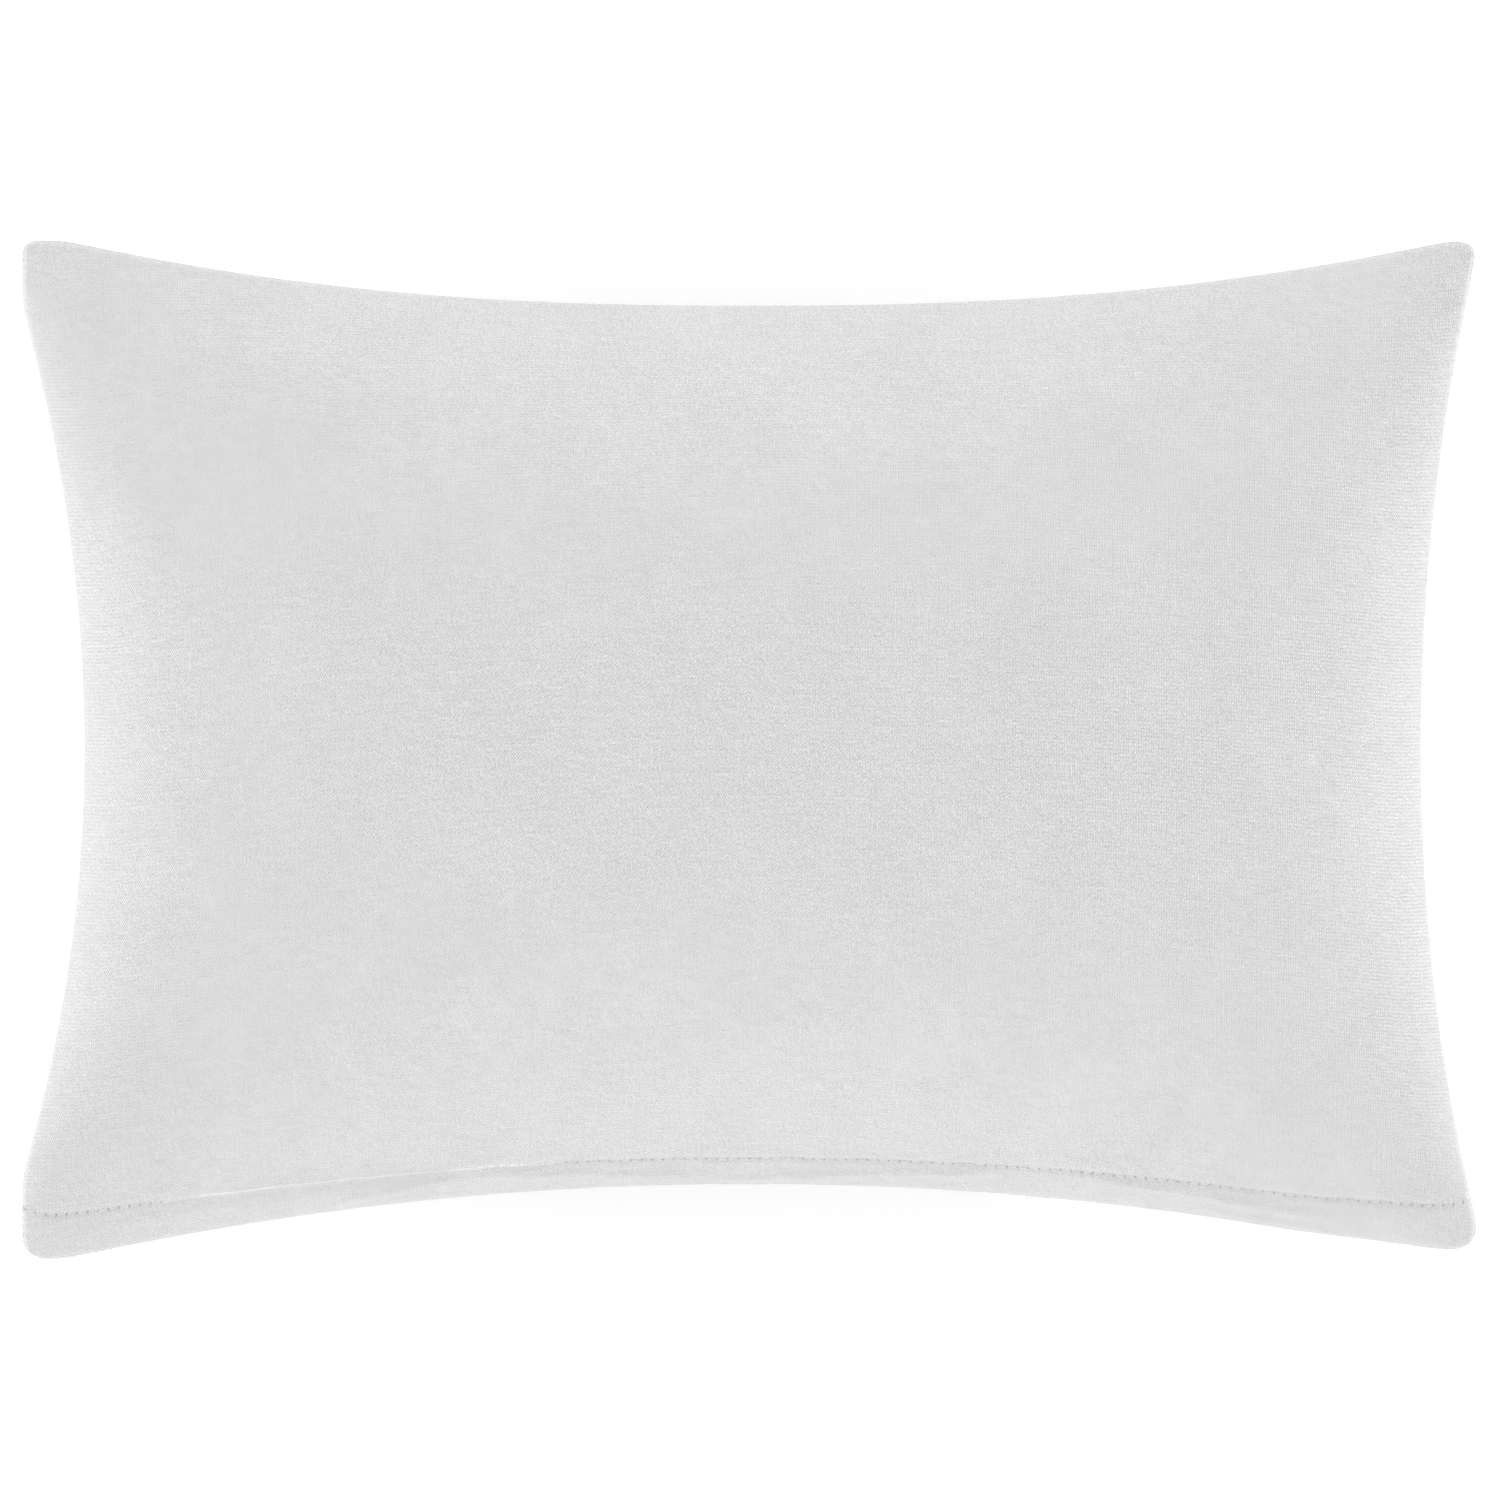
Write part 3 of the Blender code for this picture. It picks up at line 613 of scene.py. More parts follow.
def jersey_height(recipe, along, up):
    """Loops: in each wale two legs slant together, sin(2 pi (course + lean)), over rounded ribs."""
    wale = recipe.math("FRACT", recipe.math("DIVIDE", along, WALE))
    course = recipe.math("DIVIDE", up, COURSE)
    lean = recipe.math("ABSOLUTE", recipe.math("SUBTRACT", wale, 0.5))
    slant = recipe.ramp(lean, 1.3, course)
    legs = recipe.wave(slant, 2 * math.pi)
    legs = recipe.ramp(legs, 0.5, 0.5)
    ribs = recipe.wave(wale, math.pi)
    ribs = recipe.math("POWER", recipe.math("ABSOLUTE", ribs), 0.7)
    split = recipe.math("MINIMUM", recipe.times(lean, 9.0), 1.0)
    split = recipe.ramp(split, 0.35, 0.65)
    body = recipe.ramp(legs, 0.6, 0.4)
    return recipe.times(recipe.times(body, ribs), split)


def jersey(name, with_stitch_row):
    """Brushed grey-white jersey: loops, loose fibres, slubs, faint patches and needle holes, with
    painted shade in the holes and a painted highlight along the stitch row's tight stretch.
    """
    recipe = Recipe(name, (0.78, 0.78, 0.78), 0.95)
    along, up = recipe.cloth("cloth")
    flat = recipe.place(along, up)
    wander = recipe.noise(flat, 420.0, 3.0, 0.6)
    wander_up = recipe.noise(recipe.place(up, along), 360.0, 3.0, 0.6)
    drifted = recipe.ramp(wander, 0.0011, along)
    drifted_up = recipe.ramp(wander_up, 0.0012, up)
    loops = jersey_height(recipe, drifted, drifted_up)
    leg_right, leg_left = slanted_legs(recipe, drifted, drifted_up)
    swap = recipe.noise(flat, 150.0, 2.0, 0.5)
    swap = recipe.ramp(swap, 1.6, -0.15)
    legs = recipe.times(leg_right, swap)
    legs = recipe.ramp(leg_left, recipe.math("SUBTRACT", 1.15, swap), legs)
    lean = recipe.place(recipe.ramp(up, -0.55, along), recipe.times(up, 0.7))
    streak = recipe.noise(lean, 1500.0, 3.0, 0.7)
    fibre = recipe.noise(flat, 3000.0, 2.0, 0.7)
    slub = recipe.noise(recipe.place(recipe.times(along, 0.3), up), 420.0, 3.0, 0.6)
    patch = recipe.noise(flat, 26.0, 4.0, 0.6)
    light = recipe.ramp(legs, LEG_CONTRAST, 0.5)
    light = centred(recipe, streak, STREAK_CONTRAST, light)
    light = centred(recipe, fibre, FIBRE_CONTRAST, light)
    light = centred(recipe, slub, SLUB_CONTRAST, light)
    light = centred(recipe, patch, PATCH_CONTRAST, light)
    height = recipe.ramp(streak, 0.8, loops)
    height = recipe.ramp(fibre, 0.5, height)
    if with_stitch_row:
        phase, away = recipe.cloth("stitch_row")
        hole = recipe.math("COSINE", recipe.times(phase, 2 * math.pi))
        hole = recipe.math("POWER", recipe.math("MAXIMUM", hole, 0.0), 5.0)
        near = recipe.math("DIVIDE", away, 0.00050)
        near = recipe.times(near, near)
        near = recipe.math("EXPONENT", recipe.times(near, -1.0))
        shown = recipe.math("ABSOLUTE", recipe.math("ADD", along, 0.135))
        shown = recipe.ramp(shown, 33.0, -1.5)
        shown = recipe.math("MINIMUM", recipe.math("MAXIMUM", shown, 0.25), 1.0)
        # Needle holes: a dent in the bump, and painted shade that darkens the colour in each hole; both
        # are fainter along the row's tight stretch.
        pit_dent_and_shade = recipe.times(recipe.times(hole, near), shown)
        light = recipe.ramp(pit_dent_and_shade, -0.55, light)
        # Painted highlight: a thin lighter line along the row where it pulls tight, standing in for the
        # lit edge of the fold there.
        taut_row_highlight = recipe.times(near, recipe.math("SUBTRACT", 1.0, shown))
        light = recipe.ramp(taut_row_highlight, 0.85, light)
        height = recipe.ramp(pit_dent_and_shade, -2.0, height)
    recipe.tint(light, JERSEY_SHADE, JERSEY_LIGHT)
    recipe.rough(slub, 0.88, 1.0)
    recipe.bump(height, 0.00030, 0.9)
    recipe.fuzz(0.16, 0.4)
    return recipe.material


def plain_weave(name, low, high, pitch):
    """Plain weave: warp and weft take turns on top, sin x sin over each thread crossing."""
    recipe = Recipe(name, high, 0.85)
    along, up = recipe.cloth("cloth")
    turn = math.pi / pitch
    warp = recipe.wave(along, turn)
    weft = recipe.wave(up, turn)
    over = recipe.ramp(recipe.times(warp, weft), 0.5, 0.5)
    flat = recipe.place(along, up)
    slub = recipe.noise(flat, 500.0, 3.0, 0.6)
    light = recipe.ramp(slub, 0.6, recipe.times(over, 0.4))
    recipe.tint(light, low, high)
    recipe.rough(slub, 0.75, 0.95)
    recipe.bump(recipe.ramp(slub, 0.4, over), 0.00012, 0.8)
    recipe.fuzz(0.06, 0.4)
    return recipe.material


def herringbone_tape(name):
    """Zip tape: fine ribs that slant one way and then the other across its width."""
    recipe = Recipe(name, (0.82, 0.82, 0.82), 0.7)
    along, up = recipe.cloth("cloth")
    band = recipe.math("PINGPONG", up, 0.0022)
    slant = recipe.math("ADD", along, band)
    ribs = recipe.wave(slant, 2 * math.pi / 0.00075)
    ribs = recipe.ramp(ribs, 0.5, 0.5)
    lint = recipe.noise(recipe.place(along, up), 1400.0, 3.0)
    light = recipe.ramp(lint, 0.5, recipe.times(ribs, 0.5))
    recipe.tint(light, (0.66, 0.66, 0.66), (0.88, 0.88, 0.88))
    recipe.rough(lint, 0.6, 0.85)
    recipe.bump(recipe.ramp(lint, 0.3, ribs), 0.00015, 0.8)
    recipe.fuzz(0.05, 0.4)
    return recipe.material


def twisted_thread(name, low, high, twist):
    """Spun thread: plies wind round it, sin(2 pi (length / twist + turn))."""
    recipe = Recipe(name, high, 0.7)
    along, turn = recipe.cloth("yarn")
    wound = recipe.math("ADD", recipe.math("DIVIDE", along, twist), turn)
    plies = recipe.wave(wound, 4 * math.pi)
    plies = recipe.ramp(plies, 0.5, 0.5)
    lint = recipe.noise(recipe.object_place(), 3000.0, 2.0)
    light = recipe.ramp(lint, 0.5, recipe.times(plies, 0.5))
    recipe.tint(light, low, high)
    recipe.rough(lint, 0.55, 0.8)
    recipe.bump(plies, 0.00008, 0.7)
    recipe.fuzz(0.08, 0.4)
    return recipe.material


def nylon_coil(name):
    """Moulded nylon: a smooth translucent white with faint drawn marks."""
    recipe = Recipe(name, (0.84, 0.84, 0.83), 0.32)
    drawn = recipe.noise(recipe.object_place(), 900.0, 3.0)
    recipe.tint(drawn, (0.74, 0.74, 0.73), (0.88, 0.88, 0.87))
    recipe.rough(drawn, 0.24, 0.42)
    recipe.bump(drawn, 0.00003, 0.5)
    return recipe.material


def enamelled_metal(name):
    """White enamel on die-cast metal: an orange-peel skin, worn greyer in small patches."""
    recipe = Recipe(name, (0.80, 0.80, 0.80), 0.3)
    peel = recipe.noise(recipe.object_place(), 1600.0, 2.0)
    worn = recipe.noise(recipe.object_place(), 420.0, 4.0, 0.65)
    worn = recipe.math("SUBTRACT", recipe.times(worn, 5.0), 2.9)
    worn = recipe.math("MINIMUM", recipe.math("MAXIMUM", worn, 0.0), 1.0)
    recipe.tint(worn, (0.82, 0.82, 0.82), (0.60, 0.60, 0.61))
    recipe.rough(recipe.ramp(worn, 0.6, recipe.times(peel, 0.4)), 0.2, 0.5)
    recipe.bump(peel, 0.00004, 0.5)
    recipe.shader.inputs["Coat Weight"].default_value = 0.3
    recipe.shader.inputs["Coat Roughness"].default_value = 0.15
    return recipe.material


def loose_fibre(name):
    """Crimped polyester fibre: fine tangled strands over soft tufts."""
    recipe = Recipe(name, (0.93, 0.93, 0.92), 0.95)
    where = recipe.object_place()
    tufts = recipe.noise(where, 90.0, 5.0, 0.6)
    strands = recipe.noise(where, 1300.0, 5.0, 0.7)
    recipe.tint(strands, (0.80, 0.80, 0.79), (0.97, 0.97, 0.96))
    recipe.rough(tufts, 0.85, 1.0)
    recipe.bump(recipe.ramp(strands, 0.4, tufts), 0.0015, 0.9)
    recipe.fuzz(0.2, 0.6)
    return recipe.material


def satin_ribbon(name):
    """Satin: long floats along the ribbon with a soft gloss."""
    recipe = Recipe(name, (0.92, 0.92, 0.91), 0.4)
    along, up = recipe.cloth("cloth")
    floats = recipe.noise(recipe.place(recipe.times(along, 0.08), up), 2600.0, 2.0)
    recipe.tint(floats, (0.82, 0.82, 0.81), (0.95, 0.95, 0.94))
    recipe.rough(floats, 0.3, 0.5)
    recipe.bump(floats, 0.00006, 0.6)
    return recipe.material


# ---- the cover


def joined_sheets(upper, lower):
    """Two sheets that share their border: points, quads and each sheet's corner numbers."""
    rows, columns = upper.shape[:2]
    front = np.arange(rows * columns).reshape(rows, columns)
    back = front.copy()
    inner = (rows - 2) * (columns - 2)
    back[1:-1, 1:-1] = rows * columns + np.arange(inner).reshape(rows - 2, columns - 2)
    points = np.concatenate([upper.reshape(-1, 3), lower[1:-1, 1:-1].reshape(-1, 3)])
    above = np.stack([front[:-1, :-1], front[1:, :-1], front[1:, 1:], front[:-1, 1:]], -1)
    below = np.stack([back[:-1, :-1], back[:-1, 1:], back[1:, 1:], back[1:, :-1]], -1)
    quads = np.concatenate([above.reshape(-1, 4), below.reshape(-1, 4)])
    return points, quads, front, back


def settle_cover(rows, columns):
    """How the stuffed cover settles: two flat panels sewn round the edge and blown up in a cloth run.

    The run starts a little slack of the formed cover and takes its unstretched lengths from the flat
    panels. What it gives is the distance that each point moves along its own normal; settle_share puts
    the cap on it.
    """
    share_u = np.linspace(-1, 1, rows)
    share_v = np.linspace(-1, 1, columns)
    u, v = np.meshgrid(share_u, share_v, indexing="ij")
    upper = front_form(u, v)
    lower = back_form(u, v)
    upper[..., 2] = SEAM_HEIGHT + (upper[..., 2] - SEAM_HEIGHT) * SETTLE_SLACK
    lower[..., 2] = SEAM_HEIGHT + (lower[..., 2] - SEAM_HEIGHT) * SETTLE_SLACK
    points, quads, front, back = joined_sheets(upper, lower)
    mesh = mesh_of("blown_cover", points, quads)
    bag = placed("blown_cover", mesh)
    bag.shape_key_add(name="formed")
    cut = bag.shape_key_add(name="cut")
    flat = points.copy()
    flat[: rows * columns, 0] = (u * HALF_LENGTH).ravel()
    flat[: rows * columns, 1] = (v * HALF_WIDTH).ravel()
    flat[rows * columns :, 0] = (u[1:-1, 1:-1] * HALF_LENGTH).ravel()
    flat[rows * columns :, 1] = (v[1:-1, 1:-1] * HALF_WIDTH).ravel()
    flat[:, 2] = SEAM_HEIGHT
    cut.data.foreach_set("co", flat.astype(np.float32).ravel())
    cut.value = 0.0
    sewn = bag.vertex_groups.new(name="sewn")
    rim = np.concatenate([front[0], front[-1], front[1:-1, 0], front[1:-1, -1]])
    sewn.add(rim.tolist(), 1.0, "REPLACE")
    cloth = bag.modifiers.new("cloth", "CLOTH")
    cloth.settings.vertex_group_mass = "sewn"
    cloth.settings.rest_shape_key = cut
    cloth.settings.quality = 6
    cloth.settings.mass = 0.15
    cloth.settings.tension_stiffness = 12.0
    cloth.settings.compression_stiffness = 3.0
    cloth.settings.shear_stiffness = 2.0
    cloth.settings.bending_stiffness = 1.2
    cloth.settings.air_damping = 4.0
    cloth.settings.use_pressure = True
    cloth.settings.uniform_pressure_force = 4.0
    cloth.settings.effector_weights.gravity = 0.0
    cloth.point_cache.frame_start = 1
    cloth.point_cache.frame_end = SETTLE_FRAMES
    scene = bpy.context.scene
    for tick in range(1, SETTLE_FRAMES + 1):
        scene.frame_set(tick)
    blown = bag.evaluated_get(bpy.context.evaluated_depsgraph_get()).to_mesh()
    settled = np.zeros(len(points) * 3, np.float32)
    blown.vertices.foreach_get("co", settled)
    settled = settled.reshape(-1, 3).astype(float)
    bpy.data.objects.remove(bag, do_unlink=True)
    scene.frame_set(1)
    moved = settled - points
    up_move = moved[front]
    low_move = moved[back]
    up_way = facing(front_form, u, v, 1)
    low_way = facing(back_form, u, v, -1)
    return (up_move * up_way).sum(-1), (low_move * low_way).sum(-1)


def even_out(field, times):
    """A field averaged with its four neighbours, a number of times."""
    for _ in range(times):
        wide = np.pad(field, 1, mode="edge")
        field = (wide[:-2, 1:-1] + wide[2:, 1:-1] + wide[1:-1, :-2] + wide[1:-1, 2:] + 4 * field) / 8
    return field


def read_field(field, u, v):
    """A field on an even grid read at shares u and v by bilinear interpolation."""
    rows, columns = field.shape
    at_u = np.clip((u + 1) / 2 * (rows - 1), 0, rows - 1.001)
    at_v = np.clip((v + 1) / 2 * (columns - 1), 0, columns - 1.001)
    low_u = at_u.astype(int)
    low_v = at_v.astype(int)
    part_u = at_u - low_u
    part_v = at_v - low_v
    near = field[low_u, low_v] * (1 - part_u) + field[low_u + 1, low_v] * part_u
    far = field[low_u, low_v + 1] * (1 - part_u) + field[low_u + 1, low_v + 1] * part_u
    return near * (1 - part_v) + far * part_v


SETTLE_ROWS = 101
SETTLE_COLUMNS = 71
SETTLE_SLACK = 0.96
SETTLE_FRAMES = 20
SETTLE_CAP = 0.0022
SETTLE_FADE = 0.030

evened = [even_out(field, 3) for field in settle_cover(SETTLE_ROWS, SETTLE_COLUMNS)]
front_settle, back_settle = [field - even_out(field, 400) for field in evened]


def settle_share(field, u, v):
    """The settled height under its cap, c tanh(h / c), eased to nought beside seams and lap."""
    height = SETTLE_CAP * np.tanh(read_field(field, u, v) / SETTLE_CAP)
    fade = smooth((1 - np.abs(u)) * HALF_LENGTH / SETTLE_FADE)
    fade = fade * smooth((1 - v) * HALF_WIDTH / SETTLE_FADE)
    return height * fade * smooth(((1 + v) * HALF_WIDTH - 0.012) / SETTLE_FADE)


def front_face(u, v):
    """Outer face of the front panel: form, knit, relief and settling, with its edges rolled under."""
    way = facing(front_form, u, v, 1)
    height = KNIT + front_relief(u, v) + settle_share(front_settle, u, v)
    return rolled(front_form(u, v) + way * height[..., None], u, v, 1)


def back_face(u, v):
    """Outer face of the back panel, which stays level where it lies on a surface."""
    way = facing(back_form, u, v, -1)
    hanging = 1 - smooth((crown(u, v) - 0.45) / 0.3)
    height = KNIT + back_relief(u, v) + settle_share(back_settle, u, v) * hanging
    return rolled(back_form(u, v) + way * height[..., None], u, v, -1)


def stitch_line(form, face, u_end, distance):
    """Shares along a row at a distance from the near edge, and the length of the row up to each."""
    dense = np.linspace(-u_end, u_end, 1600)
    row = row_at(form, dense, distance)
    line = face(dense, row)
    run = np.concatenate([[0.0], np.cumsum(spans(line, 0))])
    return dense, row, run


def topstitch(name, form, face, u_end, distance, outward, finish, replaced):
    """A row of short stitches: each rises from its needle hole as cos(pi s)^0.7 and dips in again."""
    dense, row, run = stitch_line(form, face, u_end, distance)
    count = int(run[-1] / STITCH_PITCH)
    middle = (np.arange(count) + 0.5) * STITCH_PITCH
    share = np.linspace(-0.5, 0.5, 6)
    at = middle[:, None] + share[None, :] * STITCH_SHOWN
    u = np.interp(at, run, dense)
    v = np.interp(at, run, row)
    way = facing(form, u, v, outward)
    chance = np.random.default_rng(3)
    sway = chance.normal(0, 0.00006, (count, 1)) + share[None, :] * 0.00012
    rise = THREAD_RADIUS * (1.5 * np.cos(share * math.pi) ** 0.7 - 0.75)
    along = unit(np.gradient(face(u, v), axis=1))
    side = unit(np.cross(way, along))
    centre = face(u, v) + way * rise[None, :, None] + side * sway[..., None]
    radius = THREAD_RADIUS * np.array([0.55, 0.9, 1.0, 1.0, 0.9, 0.55])
    return tubes(name, centre, side, way, radius, 6, finish, "pillow", replaced)


def seam_ties(name, corners, spacing, tall, finish, replaced):
    """Overlock ties across a seam: short bars that lean along it and bow out, evenly spaced."""
    run = np.concatenate([[0.0], np.cumsum(spans(corners, 0))])
    count = int(run[-1] / spacing)
    share = np.linspace(-1, 1, 5)
    at = ((np.arange(count) + 0.5) * spacing)[:, None] + share[None, :] * spacing * 0.32
    centre = np.stack([np.interp(at, run, corners[:, k]) for k in range(3)], axis=-1)
    ahead = np.stack([np.interp(at + 1e-4, run, corners[:, k]) for k in range(3)], axis=-1)
    along = unit(ahead - centre)
    up = np.array([0.0, 0.0, 1.0])
    outward = unit(np.cross(along, up))
    centre = centre + up * (share * tall)[None, :, None]
    centre = centre + outward * (0.00035 * (1 - share**2))[None, :, None]
    way = unit(np.gradient(centre, axis=1))
    side = unit(np.cross(outward, way))
    radius = np.array([0.00012, 0.00017, 0.00019, 0.00017, 0.00012])
    return tubes(name, centre, side, outward, radius, 6, finish, "pillow", replaced)


def border(plan_points, u_stop):
    """Shares round a panel from the near edge's one end to its other, anticlockwise seen from above."""
    corner = np.linspace(u_stop, 1.0, 60)
    side = steps(260)
    top = steps(360)[::-1]
    end = np.ones(len(side) - 1)
    u = np.concatenate([corner[:-1], end, top[:-1], -end])
    v = np.concatenate([np.full(59, -1.0), side[:-1], np.full(len(top) - 1, 1.0), side[::-1][:-1]])
    u = np.concatenate([u, -corner[::-1]])
    v = np.concatenate([v, np.full(60, -1.0)])
    return plan_points(u, v)


def seam_line(u, v):
    """The seam's own line: the rolled edge of the front panel brought to the seam's height."""
    points = front_face(u, v)
    points[..., 2] = SEAM_HEIGHT
    return points


def make_cover(finishes):
    """Front and back panels, the lap's topstitch, the zip's back stitch and the seam's ties."""
    lap_rows = np.linspace(-0.995, -0.86, 62)
    share_v = np.unique(np.round(np.concatenate([steps(140), lap_rows]), 5))
    share_u = steps(230)
    u, v = np.meshgrid(share_u, share_v, indexing="ij")
    face = front_face(u, v)
    dense, _, run = stitch_line(front_form, front_face, ROW_END, LAP_WIDTH)
    up = hem_distance(u, v)
    stitch = np.interp(share_u, dense, run) / STITCH_PITCH
    phase = np.broadcast_to(stitch[:, None], u.shape)
    extra = np.stack([phase, up - LAP_WIDTH], axis=-1)
    front = fabric(
        "cover_front", face, KNIT, finishes["jersey_front"], ["cover_front_panel"], 1, extra
    )
    share_v = steps(130)
    ends = np.linspace(MOUTH_START - 0.002, TUCK_END, 26) / HALF_LENGTH
    share_u = np.unique(np.round(np.concatenate([steps(200), ends, -ends]), 5))
    u, v = np.meshgrid(share_u, share_v, indexing="ij")
    face = back_face(u, v)
    back = fabric("cover_back", face, KNIT, finishes["jersey_back"], ["cover_back_panel"], -1)
    thread = finishes["thread"]
    sewn = ["hem_topstitch_thread"]
    topstitch("lap_topstitch", front_form, front_face, ROW_END, LAP_WIDTH, 1, thread, sewn)
    reach = TAPE_HALF / HALF_LENGTH
    sewn = ["zip_back_stitch_thread"]
    topstitch("zip_back_stitch", back_form, back_face, reach, BACK_STITCH_INSET, -1, thread, sewn)
    line = border(seam_line, (TUCK_END + 0.001) / HALF_LENGTH)
    seam_ties("cover_seam_ties", line, 0.0026, 0.0011, thread, ["cover_seam_thread"])


# ---- the inner pillow


def inner_form(inset, near_inset, pull_back, gap, outward):
    """A smaller crowned sheet inside the cover, as a function of u and v."""
    half_length = HALF_LENGTH - inset
    half_width = HALF_WIDTH - (inset + near_inset) / 2
    shift = (near_inset - inset) / 2
    drop = SEAM_HEIGHT - SEAM_GAP / 2 - KNIT

    def form(u, v):
        """The sheet's points: the drawn-in plan, raised or lowered by the crown."""
        x = u * (half_length - arc_height(v, half_width, SIDE_PULL))
        y = v * (half_width - arc_height(u, half_length, LONG_PULL)) + shift
        if outward > 0:
            z = SEAM_HEIGHT + gap / 2 + (CROWN_RISE - pull_back) * crown(u, v)
        else:
            level = 1 - (1 - np.minimum(crown(u, v) / REST_SHARE, 1.0)) ** 2
            z = SEAM_HEIGHT - gap / 2 - (drop - pull_back) * level
        return np.stack([x, y, z], axis=-1)

    return form


def make_inner_pillow(finishes):
    """The ticking case, its seams, the fibre inside it and the blank label in its seam."""
    u, v = np.meshgrid(steps(120), steps(80), indexing="ij")
    for side, outward in (("front", 1), ("back", -1)):
        form = inner_form(INSERT_INSET, INSERT_ZIP_INSET, INSERT_SLACK, SEAM_GAP, outward)
        way = facing(form, u, v, outward)
        face = form(u, v) + way * TICKING
        panel = [f"ticking_{side}_panel"]
        case = fabric(
            f"ticking_{side}", face, TICKING, finishes["ticking"], panel, outward
        )
    inset = INSERT_INSET - TICKING / 2
    seam = inner_form(inset, INSERT_ZIP_INSET - TICKING / 2, INSERT_SLACK, 0.0, 1)
    gap = TIES_START / (HALF_LENGTH - INSERT_INSET)

    def seam_at(where_u, where_v):
        """The seam's own line, at the seam's height."""
        points = seam(where_u, where_v)
        points[..., 2] = SEAM_HEIGHT
        return points

    line = border(seam_at, gap)
    seam_ties("inner_seam_ties", line, 0.0030, 0.0007, finishes["thread"], ["insert_seam_thread"])
    closing = seam_at(np.linspace(-CLOSING_SHARE, CLOSING_SHARE, 80), np.full(80, -1.0))
    seam_ties("closing_ties", closing, 0.0042, 0.0007, finishes["thread"], ["insert_closing_thread"])
    make_fibre(finishes["fibre"])
    make_label(finishes["ribbon"])


def make_fibre(finish):
    """The filling: two crowned sheets joined at their border, gently lumped inwards."""
    rows, columns = 90, 64
    u, v = np.meshgrid(steps(rows - 1), steps(columns - 1), indexing="ij")
    inset = INSERT_INSET + FILL_INSET
    zip_inset = INSERT_ZIP_INSET + FILL_INSET
    slack = INSERT_SLACK + FILL_SLACK - SEAM_GAP / 2
    upper_form = inner_form(inset, zip_inset, slack, 0.0, 1)
    lower_form = inner_form(inset, zip_inset, slack, 0.0, -1)
    tuft = np.abs(soft_waves(u * HALF_LENGTH, v * HALF_WIDTH, 21, 12, 0.015, 0.06)) * 0.0006
    tuft = tuft * crown(u, v)
    upper = upper_form(u, v) - facing(upper_form, u, v, 1) * tuft[..., None]
    lower = lower_form(u, v) - facing(lower_form, u, v, -1) * tuft[..., None]
    points, quads, _, _ = joined_sheets(upper, lower)
    mesh = mesh_of("fibre", points, quads)
    filling = piece_of(mesh, finish, "pillow", ["fibre_fill"])


def make_label(finish):
    """A ribbon whose outer end lifts and curls a little: z rises by the square of the way out."""
    low, high = (np.array(corner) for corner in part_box("care_label"))
    out, across = np.meshgrid(np.linspace(0, 1, 14), np.linspace(0, 1, 24), indexing="ij")
    x = high[0] + (low[0] - high[0]) * out
    y = low[1] + (high[1] - low[1]) * across
    curl = 0.0012 * out**2 * np.cos((across - 0.5) * math.pi) - 0.0004 * out * (across - 0.4)
    z = (low[2] + high[2]) / 2 + 0.0002 + curl
    points = np.stack([x, y, z], axis=-1)
    ribbon = fabric("label", points, 0.0004, finish, ["care_label"], -1)


# ---- the zip


def on_arc(along, inside, height):
    """Points on the zip's arc: along it, inside the lap's edge, and up."""
    angle = along / COIL_RADIUS
    radius = EDGE_RADIUS + inside
    x = radius * np.sin(angle)
    y = ARC_CENTRE_Y + radius * np.cos(angle)
    return np.stack([x, y, np.broadcast_to(height, x.shape)], axis=-1)


def make_tape(name, form, outward, coil_height, turn_height, sewn, finish, replaced):
    """A tape's middle face: upright beside the coil, then round an eased turn and up its panel."""
    along = np.linspace(-TAPE_HALF, TAPE_HALF, 191)
    coil_side = on_arc(along, ZIP_DEPTH, coil_height)
    turn = on_arc(along, ZIP_DEPTH, turn_height)
    u = turn[:, 0] / HALF_LENGTH
    far_v = row_at(form, u, sewn)
    far = form(u, far_v) - facing(form, u, far_v, outward) * 0.00055
    rise = np.linspace(0, 1, 5)[:, None, None]
    straight = coil_side * (1 - rise) + turn * rise
    slope = np.linspace(0, 1, 12)[1:, None, None]
    leaning = turn * (1 - slope) + far * slope
    rails = np.concatenate([straight, leaning])
    points = rails.swapaxes(0, 1)
    normals = unit(np.cross(np.gradient(points, axis=0), np.gradient(points, axis=1))) * outward
    face = points + normals * TAPE_THICKNESS / 2
    strip = fabric(name, face, TAPE_THICKNESS, finish, [replaced], outward)


def make_coil(name, height, handed, finish, replaced):
    """Nylon coil: a filament wound round as (depth cos a, height sin a) while it runs along the arc."""
    pitch = 0.0014
    wire = 0.00022
    turns = int(2 * ZIP_HALF / pitch)
    around = 10
    count = turns * around + 1
    angle = np.linspace(0, 2 * math.pi * turns, count)
    along = np.linspace(-ZIP_HALF + wire, ZIP_HALF - wire, count)
    inside = ZIP_DEPTH + (COIL_DEPTH / 2 - wire) * np.cos(angle)
    lift = handed * (COIL_HEIGHT / 2 - wire) * np.sin(angle)
    centre = on_arc(along, inside, height + lift)[None]
    way = unit(np.gradient(centre, axis=1))
    out = np.broadcast_to(np.array([0.0, 0.0, 1.0]), way.shape)
    side = unit(np.cross(way, out))
    up = unit(np.cross(side, way))
    return tubes(name, centre, side, up, wire, 6, finish, "pillow", [replaced])


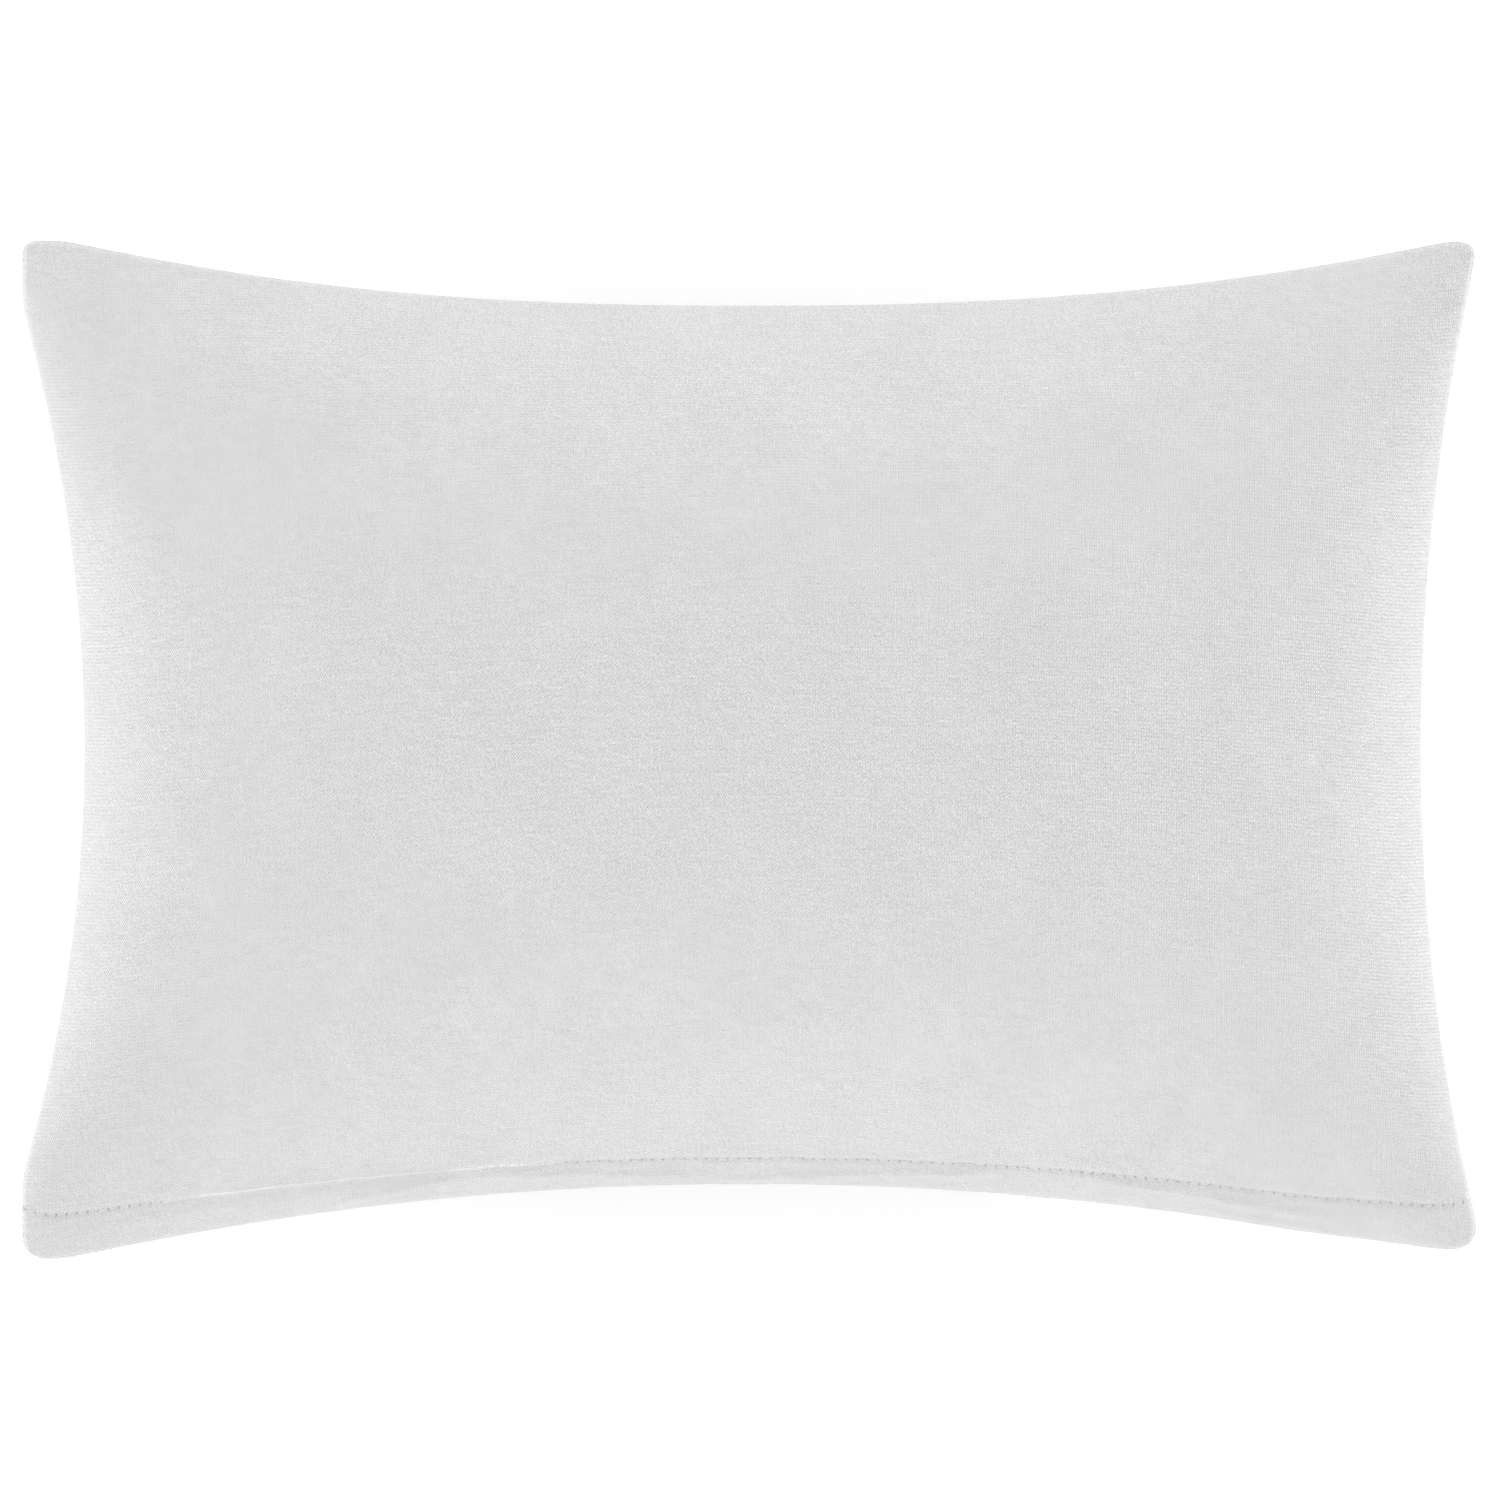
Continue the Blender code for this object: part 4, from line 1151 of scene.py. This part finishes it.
def make_zip(finishes):
    """Two tapes and two coils; the slider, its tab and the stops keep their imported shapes."""
    bend = SEAM_HEIGHT + COIL_DEPTH / 2
    top = ZIP_HEIGHT + COIL_EDGE + CLEARANCE
    low = ZIP_HEIGHT - COIL_EDGE - CLEARANCE
    tape = finishes["tape"]
    make_tape("tape_front", front_form, 1, top, bend, LAP_WIDTH, tape, "zip_tape_front")
    make_tape(
        "tape_back", back_form, -1, low, BACK_EDGE_HEIGHT, TAPE_SEWN_WIDTH, tape, "zip_tape_back"
    )
    centre = (COIL_GAP + COIL_HEIGHT) / 2
    make_coil("coil_front", ZIP_HEIGHT + centre, 1, finishes["nylon"], "zip_coil_front")
    make_coil("coil_back", ZIP_HEIGHT - centre, -1, finishes["nylon"], "zip_coil_back")
    metal_nodes = (
        "zip_slider",
        "zip_pull_tab",
        "zip_top_stop_front",
        "zip_top_stop_back",
        "zip_bottom_stop",
    )
    for node in metal_nodes:
        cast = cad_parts[node]
        for slot in cast.material_slots:
            slot.material = finishes["metal"]
        if not cast.material_slots:
            cast.data.materials.append(finishes["metal"])
        weld = cast.modifiers.new("merged", "WELD")
        weld.merge_threshold = 0.00001
        edges = cast.modifiers.new("softened_edges", "BEVEL")
        edges.width = 0.00012
        edges.segments = 2
        edges.limit_method = "ANGLE"
        edges.angle_limit = math.radians(35)


# ---- light and camera


def make_stage():
    """A pale floor with a little light of its own, so that no edge of it shows."""
    mesh = bpy.data.meshes.new("floor")
    reach = 6.0
    corners = [(-reach, -reach, 0), (reach, -reach, 0), (reach, reach, 0), (-reach, reach, 0)]
    mesh.from_pydata(corners, [], [(0, 1, 2, 3)])
    floor = placed("floor", mesh)
    paint = Recipe("pale_floor", STAGE_GREY, 1.0)
    patch = paint.noise(paint.object_place(), 2.0, 2.0)
    paint.tint(patch, (0.95, 0.95, 0.95), (0.97, 0.97, 0.97))
    paint.shader.inputs["Specular IOR Level"].default_value = 0.0
    paint.shader.inputs["Emission Color"].default_value = (1.0, 1.0, 1.0, 1.0)
    paint.shader.inputs["Emission Strength"].default_value = 0.16
    mesh.materials.append(paint.material)


def add_sun(name, azimuth, elevation, strength, spread):
    """A wide soft light from an azimuth and elevation in degrees; 0 is from +X."""
    data = bpy.data.lights.new(name, "SUN")
    data.energy = strength
    data.angle = math.radians(spread)
    lamp = placed(name, data)
    lamp.rotation_euler = (0.0, math.radians(90 - elevation), math.radians(azimuth))


def make_light():
    """Even light all round with a brighter soft light low on each side."""
    world = bpy.data.worlds.new("studio")
    world.use_nodes = True
    sky = world.node_tree.nodes["Background"]
    sky.inputs["Color"].default_value = (1.0, 1.0, 1.0, 1.0)
    sky.inputs["Strength"].default_value = 0.69
    bpy.context.scene.world = world
    add_sun("left_light", 180, 10, 2.08, 40)
    add_sun("right_light", 0, 10, 2.04, 40)
    add_sun("far_light", 90, 10, 0.86, 40)
    add_sun("near_light", -90, 10, 0.92, 40)
    settings = bpy.context.scene.view_settings
    settings.view_transform = "Standard"
    settings.look = "None"
    settings.exposure = 0.0
    settings.gamma = 1.0


def make_camera():
    """A long lens straight above the pillow."""
    data = bpy.data.cameras.new("camera")
    data.lens = 200.0
    data.sensor_width = 36.0
    wide = (CAD_BOX[1][0] - CAD_BOX[0][0]) * 1500 / 1453
    height = SEAM_HEIGHT + wide * data.lens / data.sensor_width
    camera = placed("camera", data)
    camera.location = (0.0, 0.0, height)
    data.clip_start = 0.1
    data.clip_end = 20.0
    bpy.context.scene.camera = camera


def main():
    """Make the finishes, every piece, the stage, the light and the camera."""
    finishes = {
        "jersey_front": jersey("jersey_front", True),
        "jersey_back": jersey("jersey_back", False),
        "ticking": plain_weave("white_ticking", (0.76, 0.76, 0.75), (0.90, 0.90, 0.89), 0.00045),
        "thread": twisted_thread("white_thread", (0.70, 0.70, 0.70), (0.90, 0.90, 0.90), 0.0007),
        "tape": herringbone_tape("zip_tape"),
        "nylon": nylon_coil("nylon_coil"),
        "metal": enamelled_metal("enamelled_metal"),
        "fibre": loose_fibre("loose_fibre"),
        "ribbon": satin_ribbon("satin_ribbon"),
    }
    make_cover(finishes)
    make_inner_pillow(finishes)
    make_zip(finishes)
    make_stage()
    make_light()
    make_camera()
    bpy.context.view_layer.update()


main()
